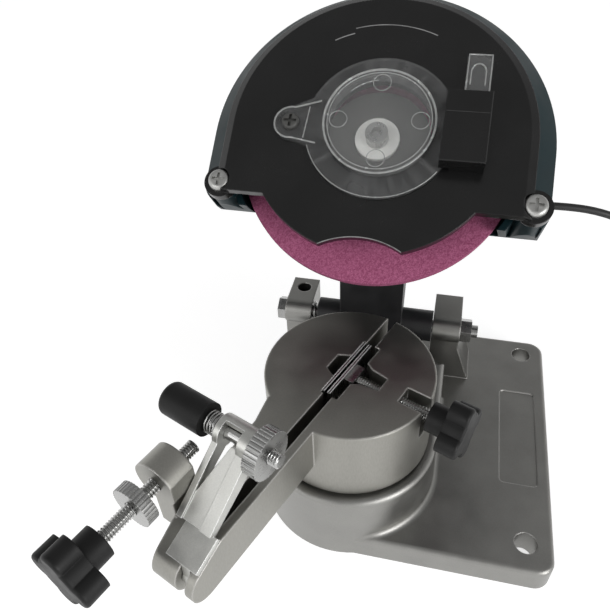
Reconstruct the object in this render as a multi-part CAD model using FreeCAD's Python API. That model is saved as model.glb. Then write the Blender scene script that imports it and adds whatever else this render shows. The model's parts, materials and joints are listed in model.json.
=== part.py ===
import FreeCAD, Part
import math
import os

from FreeCAD import Placement, Rotation, Vector

# A small bench grinder for saw chain: a cast base with a swivelling chain vise and a tilting motor head.
# Millimetres, +Z up, +Y away from the operator. Shapes are drawn about the turntable's axis on the bench,
# and the finished part has its origin midway between the two bench bolts, on the underside.

# Fits shared by every piece
running_fit = 0.05
seat_gap = 0.3

# Base casting
boss_radius = 37.0
boss_height = 37.0
boss_wall = 5.0
boss_skin = 6.0
boss_round = 2.5
boss_straight = 45.0
boss_fillet = 2.5
plate_right = 87.0
plate_front = 36.0
plate_back = 92.5
plate_height = 12.0
plate_skin = 5.0
plate_wall = 5.0
plate_corner = 7.0
plate_round = 2.0
rib_thickness = 4.0
bolt_x = 76.0
bolt_front_y = -24.0
bolt_back_y = 82.0
bolt_hole_radius = 4.5
bolt_pad_radius = 8.5
recess_x = 73.5
recess_y = 29.5
recess_width = 16.0
recess_length = 53.0
recess_depth = 0.6
recess_corner = 2.0

# Ears and hinge bolt
hinge_y = 64.0
hinge_z = 41.0
ear_gap = 59.0
ear_width = 13.0
ear_boss_radius = 6.3
ear_leg = 4.0
ear_back = 17.0
ear_foot = 7.0
ear_foot_height = 20.0
ear_hole_radius = 3.4
ear_hole_back = 10.0
ear_hole_depth = 24.0
hinge_bolt_radius = 3.0
hinge_hex = 10.0
hinge_head_height = 4.0
hinge_nut_height = 5.0
hinge_thread_end = 3.0

# Turntable of the chain vise
swivel_at_rest = -22.3
table_radius = 33.2
table_top = 72.5
table_groove = 1.5
table_edge = 0.6
table_groove_depth = 2.0
spigot_radius = 10.0
slot_width = 4.0
slot_floor = 57.0
arm_wall = 3.2
arm_left_root = 18.0
arm_left_root_along = 28.5
arm_left_waist = 15.0
arm_left_waist_along = 40.0
arm_left_shoulder = 13.5
arm_left_shoulder_along = 79.0
arm_left_tip = 12.0
lever_pin_along = 89.3
lever_pin_z = 60.4
arm_end_radius = 8.0
arm_end_slope = 24.0
tongue_slot_along = 78.0
pocket_floor = 58.0
jaw_pocket_half = 15.6
jaw_pocket_right = 4.2
left_pocket_depth = 8.0
left_pocket_half = 4.0
left_pocket_mouth = 7.3
screw_pocket_depth = 14.6
screw_pocket_mouth = 7.5
screw_pocket_half = 3.5
window_start = 23.2
window_half = 4.0

# Jaws and clamp screw
jaw_thickness = 1.2
jaw_half_length = 15.0
jaw_gap = 1.3
jaw_proud = 0.5
jaw_pad_half = 4.5
jaw_pad_end = 4.0
jaw_pad_rise = 3.3
clamp_z = 68.0
clamp_screw_radius = 2.5
clamp_tip = 1.2
clamp_knob_start = 35.0

# Four-armed plastic knobs
knob_hub_radius = 5.8
knob_hub_length = 7.0
knob_arm_radius = 12.0
knob_arm_width = 8.5
knob_arm_thickness = 8.0
knob_web_radius = 8.5
knob_round = 1.2

# Adjusting screw of the chain stop
adjust_across = -18.4
adjust_z = 84.7
adjust_boss_radius = 8.4
adjust_boss_start = 73.5
adjust_boss_end = 83.5
adjust_flat = -10.9
adjust_web_left = -20.0
adjust_web_right = -12.0
adjust_web_bottom = 64.0
adjust_screw_radius = 2.5
adjust_tip = 66.0
adjust_knob_start = 105.5
lock_nut_radius = 7.5
lock_nut_thickness = 4.2
lock_nut_room = 5.8
lock_nut_along = adjust_boss_end + lock_nut_room
knurl_count = 36
knurl_depth = 0.35

# Flip-up chain stop
lever_pin_radius = 2.0
lever_pin_cover = 1.2
lever_plate = 2.2
web_room = 0.8
web_pocket = 6.5
lever_left = -7.5
lever_right = 5.0
lever_tongue = 3.5
lever_tongue_radius = 5.0
rod_along = 59.0
rod_z = 92.0
rod_radius = 2.5
cheek_left = -10.5
cheek_right = 3.5
cheek_thickness = 2.2
cheek_half = 3.2
eye_radius = 5.5
sleeve_length = 4.5
rod_end = 12.5
thumb_nut_radius = 8.5
thumb_nut_thickness = 5.0
grip_radius = 6.0
grip_length = 18.0
grip_start = -16.5
grip_round = 2.0
grip_bore_depth = 12.0
stop_spring_radius = 3.7
stop_spring_wire = 0.6
stop_spring_turns = 4

# Turntable lock under the boss
lock_stud_radius = 4.0
lock_stud_top = 52.0
lock_stud_bottom = 13.0
lock_washer_radius = 15.0
lock_washer_thickness = 1.8
lock_knob_hub_radius = 9.0
lock_knob_hub_length = 9.0
lock_knob_arm_radius = 22.0
lock_knob_arm_width = 13.0
lock_knob_arm_thickness = 10.0

# Tilting head, measured from the wheel's rear face
head_tilt = 36.5
hinge_drop = 52.3
hinge_behind = 73.8
barrel_radius = 7.5
barrel_left = 26.2
barrel_right = 29.2
arm_half_width = 14.5
arm_front = -30.0
arm_rear = -57.5
return_spring_radius = 4.4
return_spring_wire = 1.2
return_spring_turns = 5
return_spring_pitch = 1.9
return_spring_bore = 5.6
return_spring_length = return_spring_turns * return_spring_pitch + return_spring_wire
return_spring_depth = barrel_left - ear_gap / 2 + return_spring_length + 2 * seat_gap

# Grinding wheel and its clamping
wheel_radius = 54.0
wheel_bore_radius = 11.5
wheel_thickness = 3.2
flange_radius = 20.0
inner_flange_thickness = 6.0
register_length = 3.0
outer_flange_thickness = 8.0
washer_radius = 8.4
washer_thickness = 1.5
wheel_screw_radius = 2.5
wheel_screw_head_radius = 4.25
wheel_screw_head_height = 5.0
wheel_screw_length = 24.0
socket_flats = 4.0
socket_depth = 2.5

# Wheel housing and cover
housing_radius = 65.0
housing_back = -12.0
housing_wall = 2.5
housing_side_front = 9.0
seam_radius = 57.7
seam_front = 16.0
housing_bottom = 30.0
housing_back_bottom = 25.3
spindle_hole_radius = 8.0
left_lug_x = -56.5
left_lug_y = -24.0
right_lug_x = 58.5
right_lug_y = -23.0
lug_radius = 5.5
lug_front = 13.0
lug_rib_height = 16.0
wheel_room = 1.8
corner_round = 8.0
cover_edge = 1.5
cover_front = 19.5
cover_shoulder_radius = 54.5
cover_plate = 3.0
cover_bottom = 28.2
cover_ear_radius = 6.2
cover_ear_front = 16.6
chin_radius = 47.7
chin_half = 15.0
chin_arch = 41.3
window_hole_radius = 18.9
cover_screw_head_radius = 4.2
cover_screw_head_height = 2.6
cover_screw_radius = 2.0
cover_screw_length = 14.0
cross_width = 1.1
cross_length = 5.0
cross_depth = 1.3

# Clear hub window and its latch
window_x = 1.2
window_y = 0.8
window_flange_radius = 27.6
window_flange_thickness = 1.5
cup_radius = 20.4
cup_height = 6.3
cup_skin = 1.5
window_pin_x = 32.0
window_tab_radius = 6.6
window_tab_root = 9.5
window_pin_radius = 1.6
window_pin_head_radius = 3.2
window_pin_head_height = 1.8
window_pin_depth = 2.5
latch_left = 23.8
latch_right = 39.5
latch_bottom = -13.6
latch_top = 13.4
latch_height = 8.5
latch_rim = 0.5
tongue_left = 29.5
tongue_right = 38.6
tongue_end = 31.5
tongue_bottom = -4.0
tongue_thickness = 2.0
tongue_clearance = 0.3
tongue_room = 8.0

# Motor
motor_radius = 30.0
motor_wall = 2.5
motor_end = -58.0
motor_front_wall = 3.0
cap_end = -86.0
cap_radius = 21.0
front_bearing_bore = 5.0
front_bearing_radius = 13.0
front_bearing_width = 8.0
bearing_shell = 2.5
rear_bearing_bore = 3.0
rear_bearing_radius = 9.5
rear_bearing_width = 6.0
shaft_radius = 4.5
shaft_front_step = -24.0
shaft_rear_step = -75.0
fan_radius = 21.0
fan_front = -25.5
fan_rear = -30.5
fan_blades = 8
fan_disc = 1.2
stator_radius = 27.4
stator_bore_radius = 15.0
stator_front = -35.5
stator_rear = -50.5
core_radius = 14.6
core_front = -36.0
core_rear = -50.0
commutator_radius = 9.5
commutator_front = -58.0
commutator_rear = -68.0
brush_n = -63.0
brush_radius = 3.2
brush_start = 9.8
brush_end = 20.0
brush_holder_radius = 4.5
brush_holder_start = 12.0
brush_holder_end = 24.0
vent_count = 10
vent_width = 2.5
vent_front = -70.0
vent_rear = -80.0
housing_screw_spot = 17.0
fixing_radius = 2.0
fixing_head_radius = 3.6
fixing_head_height = 2.2
fixing_length = 9.0
fixing_n = -28.0
bracket_screw_x = 8.0
handle_screw_x = 7.0
cap_spigot = 7.0
cap_spigot_wall = 2.5
cap_screw_n = -54.5
cap_screw_length = 6.0

# Handle and switch
handle_half_width = 12.0
handle_front = -22.0
handle_rear = -50.0
handle_top = 84.0
handle_round = 6.0
switch_half_width = 6.5
switch_half_length = 10.0
switch_depth = 16.0
switch_n = -36.0
rocker_half_width = 4.5
rocker_half_length = 7.5
rocker_rise = 2.2
rocker_pivot_depth = 3.0
rocker_angle = 8.0

# Mains cord
cord_radius = 1.8
relief_y = 8.0
relief_n = -62.0
relief_start = 24.8
relief_room = 0.1
relief_collar = 31.0
relief_end = 46.0
relief_radius = 4.5
relief_tip_radius = 2.9
coil_x = 182.0
coil_y = 84.0
coil_radius = 27.0
coil_step = 4.2
coil_layers = 4
coil_loops = 10.25
coil_lift = 0.1
tie_thickness = 0.9
tie_width = 8.0
tie_room = 0.6
plug_collar_length = 11.0
plug_collar_radius = 4.6
plug_length = 28.0
plug_width = 26.0
plug_height = 12.0
plug_round = 3.0
plug_room = 0.35
pin_radius = 2.0
pin_length = 19.0
pin_spacing = 18.6

# Points worked out from the sizes above
part_origin = Vector(bolt_x, (bolt_front_y + bolt_back_y) / 2, 0)
ear_inner = ear_gap / 2
ear_outer = ear_inner + ear_width
ear_top = hinge_z + ear_boss_radius
groove_top = boss_height + table_groove
half_slot = slot_width / 2
wall_outer = half_slot + arm_wall
arm_bottom = lever_pin_z - arm_end_radius

head_turn = Rotation(Vector(1, 0, 0), head_tilt)
hinge_in_head = Vector(0, -hinge_drop, -hinge_behind)
wheel_centre = Vector(0, hinge_y, hinge_z) - head_turn.multVec(hinge_in_head)

bench_frame = Placement()
vise_frame = Placement(Vector(), Rotation(Vector(0, 0, 1), swivel_at_rest))
head_frame = Placement(wheel_centre, head_turn)


def save(node, shape, frame):
    """Write one node, moved from its own frame to the part's frame."""
    placed = shape.copy()
    placed.Placement = Placement(-part_origin, Rotation()).multiply(frame).multiply(shape.Placement)
    placed.exportStep("parts/" + node + ".step")


def box(low_x, high_x, low_y, high_y, low_z, high_z):
    return Part.makeBox(high_x - low_x, high_y - low_y, high_z - low_z, Vector(low_x, low_y, low_z))


def rod(radius, start, end):
    axis = end - start
    return Part.makeCylinder(radius, axis.Length, start, axis)


def upright(radius, low, high, x=0, y=0):
    return rod(radius, Vector(x, y, low), Vector(x, y, high))


def crosswise(radius, low, high, y, z):
    return rod(radius, Vector(low, y, z), Vector(high, y, z))


def lengthwise(radius, low, high, x, z):
    return rod(radius, Vector(x, low, z), Vector(x, high, z))


def prism(points, travel):
    return Part.Face(Part.makePolygon(points + points[:1])).extrude(travel)


def hexagon(flats, start, end):
    """A hexagonal bar between two points."""
    corner = flats / math.sqrt(3)
    turns = [math.radians(60 * step) for step in range(6)]
    points = [Vector(corner * math.cos(turn), corner * math.sin(turn), 0) for turn in turns]
    axis = end - start
    bar = prism(points, Vector(0, 0, axis.Length))
    bar.Placement = Placement(start, Rotation(Vector(0, 0, 1), axis))
    return bar


def solid_of(parts):
    """One solid from several that touch or overlap."""
    return parts[0].fuse(parts[1:]).removeSplitter()


def rounded(shape, radius, chosen):
    """Round the edges that a test on their two ends chooses."""
    edges = [edge for edge in shape.Edges if chosen([vertex.Point for vertex in edge.Vertexes])]
    return shape.makeFillet(radius, edges)


def four_arm_knob(hub_radius, hub_length, arm_radius, arm_width, arm_thickness, web_radius):
    """A knob along +Z: its hub first, then the four arms, with an open bore left to the caller."""
    top = hub_length + arm_thickness
    reach = arm_radius - arm_width / 2
    pieces = [upright(hub_radius, 0, hub_length), upright(web_radius, hub_length, top)]
    for quarter in range(2):
        arm = solid_of([
            box(-reach, reach, -arm_width / 2, arm_width / 2, hub_length, top),
            upright(arm_width / 2, hub_length, top, x=reach),
            upright(arm_width / 2, hub_length, top, x=-reach),
        ])
        arm.rotate(Vector(), Vector(0, 0, 1), 90 * quarter)
        pieces.append(arm)
    return solid_of(pieces)


def knurled_nut(radius, bore, thickness):
    """A round nut along +Z with shallow grooves round its rim."""
    nut = upright(radius, 0, thickness)
    groove = upright(knurl_depth, 0, thickness, x=radius)
    grooves = []
    for step in range(knurl_count):
        copy = groove.copy()
        copy.rotate(Vector(), Vector(0, 0, 1), 360 * step / knurl_count)
        grooves.append(copy)
    return nut.cut(grooves + [upright(bore, 0, thickness)])


def cross_recess_screw(head_radius, head_height, shank_radius, length):
    """A pan-head screw: the head's underside at z = 0, the head above and the shank below."""
    head = upright(head_radius, 0, head_height)
    head = head.makeFillet(head_height * 0.6, [edge for edge in head.Edges if edge.BoundBox.ZMin > head_height / 2])
    low = head_height - cross_depth
    half = min(cross_length, 1.5 * head_radius) / 2
    slots = [
        box(-half, half, -cross_width / 2, cross_width / 2, low, head_height),
        box(-cross_width / 2, cross_width / 2, -half, half, low, head_height),
    ]
    return solid_of([head.cut(slots), upright(shank_radius, -length, 0)])


def moved(shape, place, axis=Vector(0, 0, 1)):
    """A copy of a shape drawn along +Z, set on another axis at a place."""
    copy = shape.copy()
    copy.Placement = Placement(place, Rotation(Vector(0, 0, 1), axis))
    return copy


def arc_inside(start, corner, end):
    """The arc from start to end that touches both legs of the corner between them."""
    middle = (start + end) * 0.5
    half_chord = (end - start).Length / 2
    rise = (corner - middle).Length
    leg = (corner - start).Length
    top = middle + (corner - middle) * (half_chord * (leg - half_chord) / rise / rise)
    return Part.Arc(start, top, end).toShape()


def biarc(start, start_way, end, end_way):
    """Two arcs that leave start and reach end along the given directions."""
    span = end - start
    ways = start_way + end_way
    square = 2 * (1 - start_way.dot(end_way))
    along = span.dot(ways)
    reach = (-along + math.sqrt(along * along + square * span.dot(span))) / square
    first = start + start_way * reach
    second = end - end_way * reach
    joint = (first + second) * 0.5
    return [arc_inside(start, first, joint), arc_inside(joint, second, end)]


def wound_tube(radius, stations, lead_in, lead_out):
    """A round wire through (point, direction) stations, with a straight run at each end."""
    edges = []
    first_point, first_way = stations[0]
    last_point, last_way = stations[-1]
    start = first_point - first_way * lead_in
    if lead_in > 0:
        edges.append(Part.LineSegment(start, first_point).toShape())
    for (point, way), (next_point, next_way) in zip(stations, stations[1:]):
        edges += biarc(point, way, next_point, next_way)
    if lead_out > 0:
        edges.append(Part.LineSegment(last_point, last_point + last_way * lead_out).toShape())
    section = Part.Wire(Part.makeCircle(radius, start, first_way))
    return Part.Wire(edges).makePipeShell([section], True, False)


def least_gap(points, spacing, diameter):
    """The least distance between parts of one tube that lie at least half a turn apart."""
    return min(
        (points[late] - points[early]).Length
        for early in range(len(points))
        for late in range(early + spacing, len(points))
    ) - diameter


def helix_stations(radius, pitch, turns, place, steps):
    """Points and directions along a helix about +X from a place on its axis."""
    stations = []
    for step in range(int(turns * steps) + 1):
        turn = 2 * math.pi * step / steps
        point = Vector(pitch * step / steps, radius * math.cos(turn), radius * math.sin(turn))
        way = Vector(pitch / (2 * math.pi), -radius * math.sin(turn), radius * math.cos(turn))
        stations.append((place + point, way.normalize()))
    return stations


def cord_tube(radius, points):
    """A cord of straight runs joined by the largest arcs that its runs allow."""
    edges = []
    bends = []
    here = points[0]
    for before, corner, after in zip(points, points[1:], points[2:]):
        back = (before - corner).normalize()
        ahead = (after - corner).normalize()
        trim = 0.45 * min((before - corner).Length, (after - corner).Length)
        turn = math.pi - back.getAngle(ahead)
        bends.append(trim / math.tan(turn / 2))
        edges.append(Part.LineSegment(here, corner + back * trim).toShape())
        edges.append(arc_inside(corner + back * trim, corner, corner + ahead * trim))
        here = corner + ahead * trim
    edges.append(Part.LineSegment(here, points[-1]).toShape())
    path = Part.Wire(edges)
    section = Part.Wire(Part.makeCircle(radius, points[0], points[1] - points[0]))
    tube = path.makePipeShell([section], True, False)
    expected = math.pi * radius * radius * path.Length
    print("cord bend radii", [round(bend) for bend in bends])
    print("cord length", round(path.Length), "volume over section times length", round(tube.Volume / expected, 4))
    return tube


os.makedirs("parts", exist_ok=True)


# Base casting: bench plate, hollow boss under the turntable and two ears for the hinge bolt
def boss_plan(inset, low, high):
    radius = boss_radius - inset
    return solid_of([
        upright(radius, low, high),
        box(-radius, radius, 0, boss_straight - inset, low, high),
    ])


def ear(side):
    front = hinge_y - ear_leg
    back = hinge_y + ear_back
    bottom = 0 if side < 0 else plate_height - plate_skin / 2
    outline = [
        Vector(side * ear_inner, front, bottom),
        Vector(side * ear_inner, front, hinge_z),
        Vector(side * ear_inner, hinge_y, ear_top),
        Vector(side * ear_inner, back, ear_top),
        Vector(side * ear_inner, back, bottom),
    ]
    return solid_of([
        prism(outline, Vector(side * ear_width, 0, 0)),
        crosswise(ear_boss_radius, side * ear_inner, side * ear_outer, hinge_y, hinge_z),
    ])


def base_casting():
    slab = box(0, plate_right, -plate_front, plate_back, 0, plate_height)
    slab = rounded(slab, plate_corner, lambda ends: all(point.x > plate_right - 1 for point in ends)
                   and abs(ends[0].z - ends[1].z) > 1)
    slab = rounded(slab, plate_round, lambda ends: all(point.z > plate_height - 1 for point in ends)
                   and any(point.x > 1 for point in ends))
    left = box(-boss_radius, 0, 0, plate_back, 0, plate_height)
    boss = boss_plan(0, 0, boss_height)
    boss = rounded(boss, boss_round, lambda ends: all(point.z > boss_height - 1 for point in ends))
    foot_y = hinge_y - ear_leg
    foot = prism([
        Vector(ear_outer, foot_y, plate_height - plate_skin / 2),
        Vector(ear_outer + ear_foot, foot_y, plate_height - plate_skin / 2),
        Vector(ear_outer + ear_foot, foot_y, plate_height),
        Vector(ear_outer, foot_y, plate_height + ear_foot_height),
    ], Vector(0, ear_leg + ear_back, 0))
    casting = solid_of([slab, left, boss])
    casting = rounded(casting, boss_fillet, lambda ends: all(abs(point.z - plate_height) < 0.01 for point in ends)
                      and all(point.x > 0 for point in ends)
                      and all(boss_radius - 1 < max(abs(point.x), math.hypot(point.x, point.y)) < plate_right / 2 + 16
                              for point in ends))
    casting = solid_of([casting, ear(-1), ear(1), foot])

    hollow_top = plate_height - plate_skin
    hollow = solid_of([
        box(0, plate_right - plate_wall, plate_wall - plate_front, plate_back - plate_wall, 0, hollow_top),
        box(plate_wall - boss_radius, 0, boss_straight, plate_back - plate_wall, 0, hollow_top),
    ])
    middle_y = (bolt_front_y + bolt_back_y) / 2
    kept = [
        boss_plan(0, 0, hollow_top),
        ear(-1),
        upright(bolt_pad_radius, 0, hollow_top, x=bolt_x, y=bolt_front_y),
        upright(bolt_pad_radius, 0, hollow_top, x=bolt_x, y=bolt_back_y),
        box(bolt_x - rib_thickness / 2, bolt_x + rib_thickness / 2, bolt_front_y, bolt_back_y, 0, hollow_top),
        box(0, plate_right, middle_y - rib_thickness / 2, middle_y + rib_thickness / 2, 0, hollow_top),
        box(0, plate_right, hinge_y, hinge_y + rib_thickness, 0, hollow_top),
    ]
    hollow = hollow.cut(kept)
    recess = box(recess_x - recess_width / 2, recess_x + recess_width / 2, recess_y - recess_length / 2,
                 recess_y + recess_length / 2, plate_height - recess_depth, plate_height)
    recess = rounded(recess, recess_corner, lambda ends: abs(ends[0].z - ends[1].z) > recess_depth / 2)
    ear_middle = -(ear_inner + ear_width / 2)
    return casting.cut([
        hollow,
        boss_plan(boss_wall, 0, boss_height - boss_skin),
        upright(spigot_radius + running_fit, 0, boss_height),
        upright(bolt_hole_radius, 0, plate_height, x=bolt_x, y=bolt_front_y),
        upright(bolt_hole_radius, 0, plate_height, x=bolt_x, y=bolt_back_y),
        crosswise(hinge_bolt_radius + running_fit, -ear_outer, ear_outer, hinge_y, hinge_z),
        upright(ear_hole_radius, ear_top - ear_hole_depth, ear_top, x=ear_middle, y=hinge_y + ear_hole_back),
        recess,
    ])


save("base_casting", base_casting(), bench_frame)

# Hinge bolt through both ears, with its hexagon head on the left and a nut on the right
hinge_left = Vector(-ear_outer, hinge_y, hinge_z)
hinge_right = Vector(ear_outer, hinge_y, hinge_z)
bolt_tip = ear_outer + hinge_nut_height + hinge_thread_end
save("hinge_bolt", solid_of([
    hexagon(hinge_hex, hinge_left - Vector(hinge_head_height, 0, 0), hinge_left),
    crosswise(hinge_bolt_radius, -ear_outer, bolt_tip, hinge_y, hinge_z),
]), bench_frame)
save("hinge_nut", hexagon(hinge_hex, hinge_right, hinge_right + Vector(hinge_nut_height, 0, 0)).cut(
    crosswise(hinge_bolt_radius + running_fit, ear_outer, bolt_tip, hinge_y, hinge_z)), bench_frame)


# Turntable: cast disc with the slotted arm. In its frame +X runs across the slot and -Y along the arm.
slope = math.radians(arm_end_slope)
slope_normal = Vector(0, -math.sin(slope), math.cos(slope))
slope_way = Vector(0, math.cos(slope), math.sin(slope))
lever_pin_centre = Vector(0, -lever_pin_along, lever_pin_z)
slope_foot = lever_pin_centre + slope_normal * arm_end_radius
slope_length = (table_top - slope_foot.z) / math.sin(slope)
slope_top = slope_foot + slope_way * slope_length


def arm_profile(low_x, high_x):
    """The arm's side view: a flat bar whose end slopes down to a round about the lever pin."""
    shift = Vector(low_x, 0, 0)
    outline = [
        Vector(0, 0, arm_bottom),
        Vector(0, -lever_pin_along, arm_bottom),
        lever_pin_centre,
        slope_foot,
        slope_top,
        Vector(0, 0, table_top),
    ]
    return solid_of([
        prism([point + shift for point in outline], Vector(high_x - low_x, 0, 0)),
        crosswise(arm_end_radius, low_x, high_x, -lever_pin_along, lever_pin_z),
    ])


def turntable():
    arm_tip = -lever_pin_along - arm_end_radius
    left_plan = prism([
        Vector(0, 0, arm_bottom),
        Vector(-arm_left_root, -arm_left_root_along, arm_bottom),
        Vector(-arm_left_waist, -arm_left_waist_along, arm_bottom),
        Vector(-arm_left_shoulder, -arm_left_shoulder_along, arm_bottom),
        Vector(-arm_left_tip, arm_tip, arm_bottom),
        Vector(0, arm_tip, arm_bottom),
    ], Vector(0, 0, table_top - arm_bottom))
    left_arm = arm_profile(-arm_left_root, 0).common(left_plan)
    screw_web = box(adjust_web_left, adjust_web_right, -adjust_boss_end, -adjust_boss_start,
                    adjust_web_bottom, adjust_z)
    screw_boss = lengthwise(adjust_boss_radius, -adjust_boss_end, -adjust_boss_start, adjust_across, adjust_z)
    screw_boss = screw_boss.cut(box(adjust_flat, 0, -adjust_boss_end, -adjust_boss_start, adjust_web_bottom,
                                    adjust_z + adjust_boss_radius))
    disc = upright(table_radius, groove_top, table_top)
    disc = disc.makeFillet(table_edge, [edge for edge in disc.Edges if edge.BoundBox.ZMin > table_top - 0.1])
    table = solid_of([
        disc,
        upright(table_radius - table_groove_depth, boss_height, groove_top),
        upright(spigot_radius, boss_height - boss_skin + seat_gap, boss_height),
        arm_profile(0, wall_outer),
        left_arm,
        screw_web,
        screw_boss,
    ])
    fixed_back = jaw_gap + 1.5 * jaw_thickness
    depth = Vector(0, 0, table_top - pocket_floor)
    left_pocket = prism([
        Vector(-half_slot, left_pocket_mouth, pocket_floor),
        Vector(-left_pocket_depth, left_pocket_half, pocket_floor),
        Vector(-left_pocket_depth, -left_pocket_half, pocket_floor),
        Vector(-half_slot, -left_pocket_mouth, pocket_floor),
    ], depth)
    screw_pocket = prism([
        Vector(half_slot, screw_pocket_mouth, pocket_floor),
        Vector(screw_pocket_depth / 2, screw_pocket_half + 1, pocket_floor),
        Vector(screw_pocket_depth, screw_pocket_half, pocket_floor),
        Vector(screw_pocket_depth, -screw_pocket_half, pocket_floor),
        Vector(screw_pocket_depth / 2, -screw_pocket_half - 1, pocket_floor),
        Vector(half_slot, -screw_pocket_mouth, pocket_floor),
    ], depth)
    return table.cut([
        box(-half_slot, half_slot, arm_tip, table_radius, slot_floor, table_top),
        box(-half_slot, half_slot, arm_tip, -tongue_slot_along, arm_bottom, table_top),
        box(-fixed_back, jaw_pocket_right, -jaw_pocket_half, jaw_pocket_half, pocket_floor, table_top),
        left_pocket,
        screw_pocket,
        box(window_start, table_radius + arm_wall, -window_half, window_half, pocket_floor, table_top),
        crosswise(clamp_screw_radius + running_fit, 0, table_radius, 0, clamp_z),
        lengthwise(adjust_screw_radius + running_fit, -adjust_boss_end, -adjust_boss_start, adjust_across,
                   adjust_z),
        crosswise(lever_pin_radius + running_fit, -arm_left_root, wall_outer - lever_pin_cover, -lever_pin_along,
                  lever_pin_z),
        upright(lock_stud_radius + running_fit, 0, lock_stud_top),
    ])


save("turntable", turntable(), vise_frame)

# Jaws: a fixed steel strip against the slot's left side and a moving one with a pad for the clamp screw
jaw_top = table_top + jaw_proud
jaw_inner = jaw_thickness / 2
fixed_front = -jaw_inner - jaw_gap
save("fixed_jaw", box(fixed_front - jaw_thickness, fixed_front, -jaw_half_length, jaw_half_length,
                      pocket_floor, jaw_top), vise_frame)
jaw_bottom = pocket_floor + seat_gap
jaw_pad = box(jaw_inner, jaw_pad_end, -jaw_pad_half, jaw_pad_half, jaw_bottom, clamp_z + jaw_pad_rise)
save("moving_jaw", solid_of([
    box(-jaw_inner, jaw_inner, -jaw_half_length, jaw_half_length, jaw_bottom, jaw_top),
    jaw_pad,
]).cut(crosswise(clamp_screw_radius + running_fit, clamp_tip - running_fit, jaw_pad_end, 0, clamp_z)), vise_frame)

# Clamp screw with its knob: it pushes the moving jaw against the chain
knob = four_arm_knob(knob_hub_radius, knob_hub_length, knob_arm_radius, knob_arm_width, knob_arm_thickness,
                     knob_web_radius)
knob = rounded(knob, knob_round, lambda ends: all(point.z > knob_hub_length + knob_arm_thickness - 0.1
                                                  for point in ends))
clamp_end = clamp_knob_start + knob_hub_length
save("clamp_screw", crosswise(clamp_screw_radius, clamp_tip, clamp_end, 0, clamp_z), vise_frame)
save("clamp_knob", moved(knob, Vector(clamp_knob_start, 0, clamp_z), Vector(1, 0, 0)).cut(
    crosswise(clamp_screw_radius, clamp_knob_start, clamp_end, 0, clamp_z)), vise_frame)

# Adjusting screw beside the arm, with its knob and knurled lock nut
adjust_end = adjust_knob_start + knob_hub_length
adjust_core = lengthwise(adjust_screw_radius, -adjust_end, -adjust_tip, adjust_across, adjust_z)
save("adjust_screw", adjust_core, vise_frame)
save("adjust_knob", moved(knob, Vector(adjust_across, -adjust_knob_start, adjust_z), Vector(0, -1, 0)).cut(
    adjust_core.copy()), vise_frame)
save("adjust_lock_nut", moved(
    knurled_nut(lock_nut_radius, adjust_screw_radius + running_fit, lock_nut_thickness),
    Vector(adjust_across, -lock_nut_along, adjust_z), Vector(0, -1, 0)), vise_frame)

# Lever pin through the arm's end
save("lever_pin", crosswise(lever_pin_radius, -arm_left_tip, wall_outer - lever_pin_cover, -lever_pin_along,
                            lever_pin_z), vise_frame)

# Chain stop lever: a zinc plate on the sloped arm end, bent up into two cheeks that carry the stop rod
rod_centre = Vector(0, -rod_along, rod_z)


def lever():
    lift = slope_normal * (seat_gap + lever_plate)
    low = slope_foot + slope_normal * seat_gap
    bend = low + slope_way * slope_length
    rise = (rod_centre - bend).normalize()
    thick = Vector(0, -rise.z, rise.y) * lever_plate
    plate = prism([
        point + Vector(lever_left, 0, 0)
        for point in (low, bend, bend + slope_normal * lever_plate, slope_foot + lift)
    ], Vector(lever_right - lever_left, 0, 0))
    web_end = rod_centre - rise * (rod_radius + web_room)
    web_start = bend + slope_normal * lever_plate / 2
    web = prism([
        web_start + Vector(cheek_left, 0, 0),
        web_end + Vector(cheek_left + web_pocket, 0, 0),
        web_end + Vector(cheek_right, 0, 0),
        web_start + Vector(cheek_right, 0, 0),
    ], thick)
    cheeks = []
    half = thick * (cheek_half / lever_plate)
    for left, right in ((cheek_left, cheek_left + cheek_thickness), (cheek_right - sleeve_length, cheek_right)):
        side = [point + Vector(left, 0, 0) for point in (
            web_start, rod_centre - half, rod_centre + half, web_start + half)]
        cheeks.append(prism(side, Vector(right - left, 0, 0)))
        cheeks.append(crosswise(eye_radius, left, right, -rod_along, rod_z))
    across = lever_tongue / 2
    foot = slope_way * lever_tongue_radius
    tongue_top = slope_normal * (arm_end_radius + seat_gap + lever_plate / 2)
    tongue = prism([
        point + lever_pin_centre - Vector(across, 0, 0)
        for point in (-foot, foot, foot + tongue_top, tongue_top)
    ], Vector(lever_tongue, 0, 0))
    tongue_round = crosswise(lever_tongue_radius, -across, across, -lever_pin_along, lever_pin_z)
    hood = crosswise(eye_radius, cheek_left, cheek_right, -rod_along, rod_z).common(
        box(cheek_left, cheek_right, -rod_along, eye_radius - rod_along, rod_z, rod_z + eye_radius)).cut(
        crosswise(eye_radius - lever_plate, cheek_left, cheek_right, -rod_along, rod_z))
    whole = solid_of([plate, web, tongue, tongue_round, hood] + cheeks)
    return whole.cut([
        crosswise(lever_pin_radius + running_fit, -across, across, -lever_pin_along, lever_pin_z),
        crosswise(rod_radius + running_fit, cheek_left, cheek_right, -rod_along, rod_z),
    ])


save("stop_lever", lever(), vise_frame)

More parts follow.
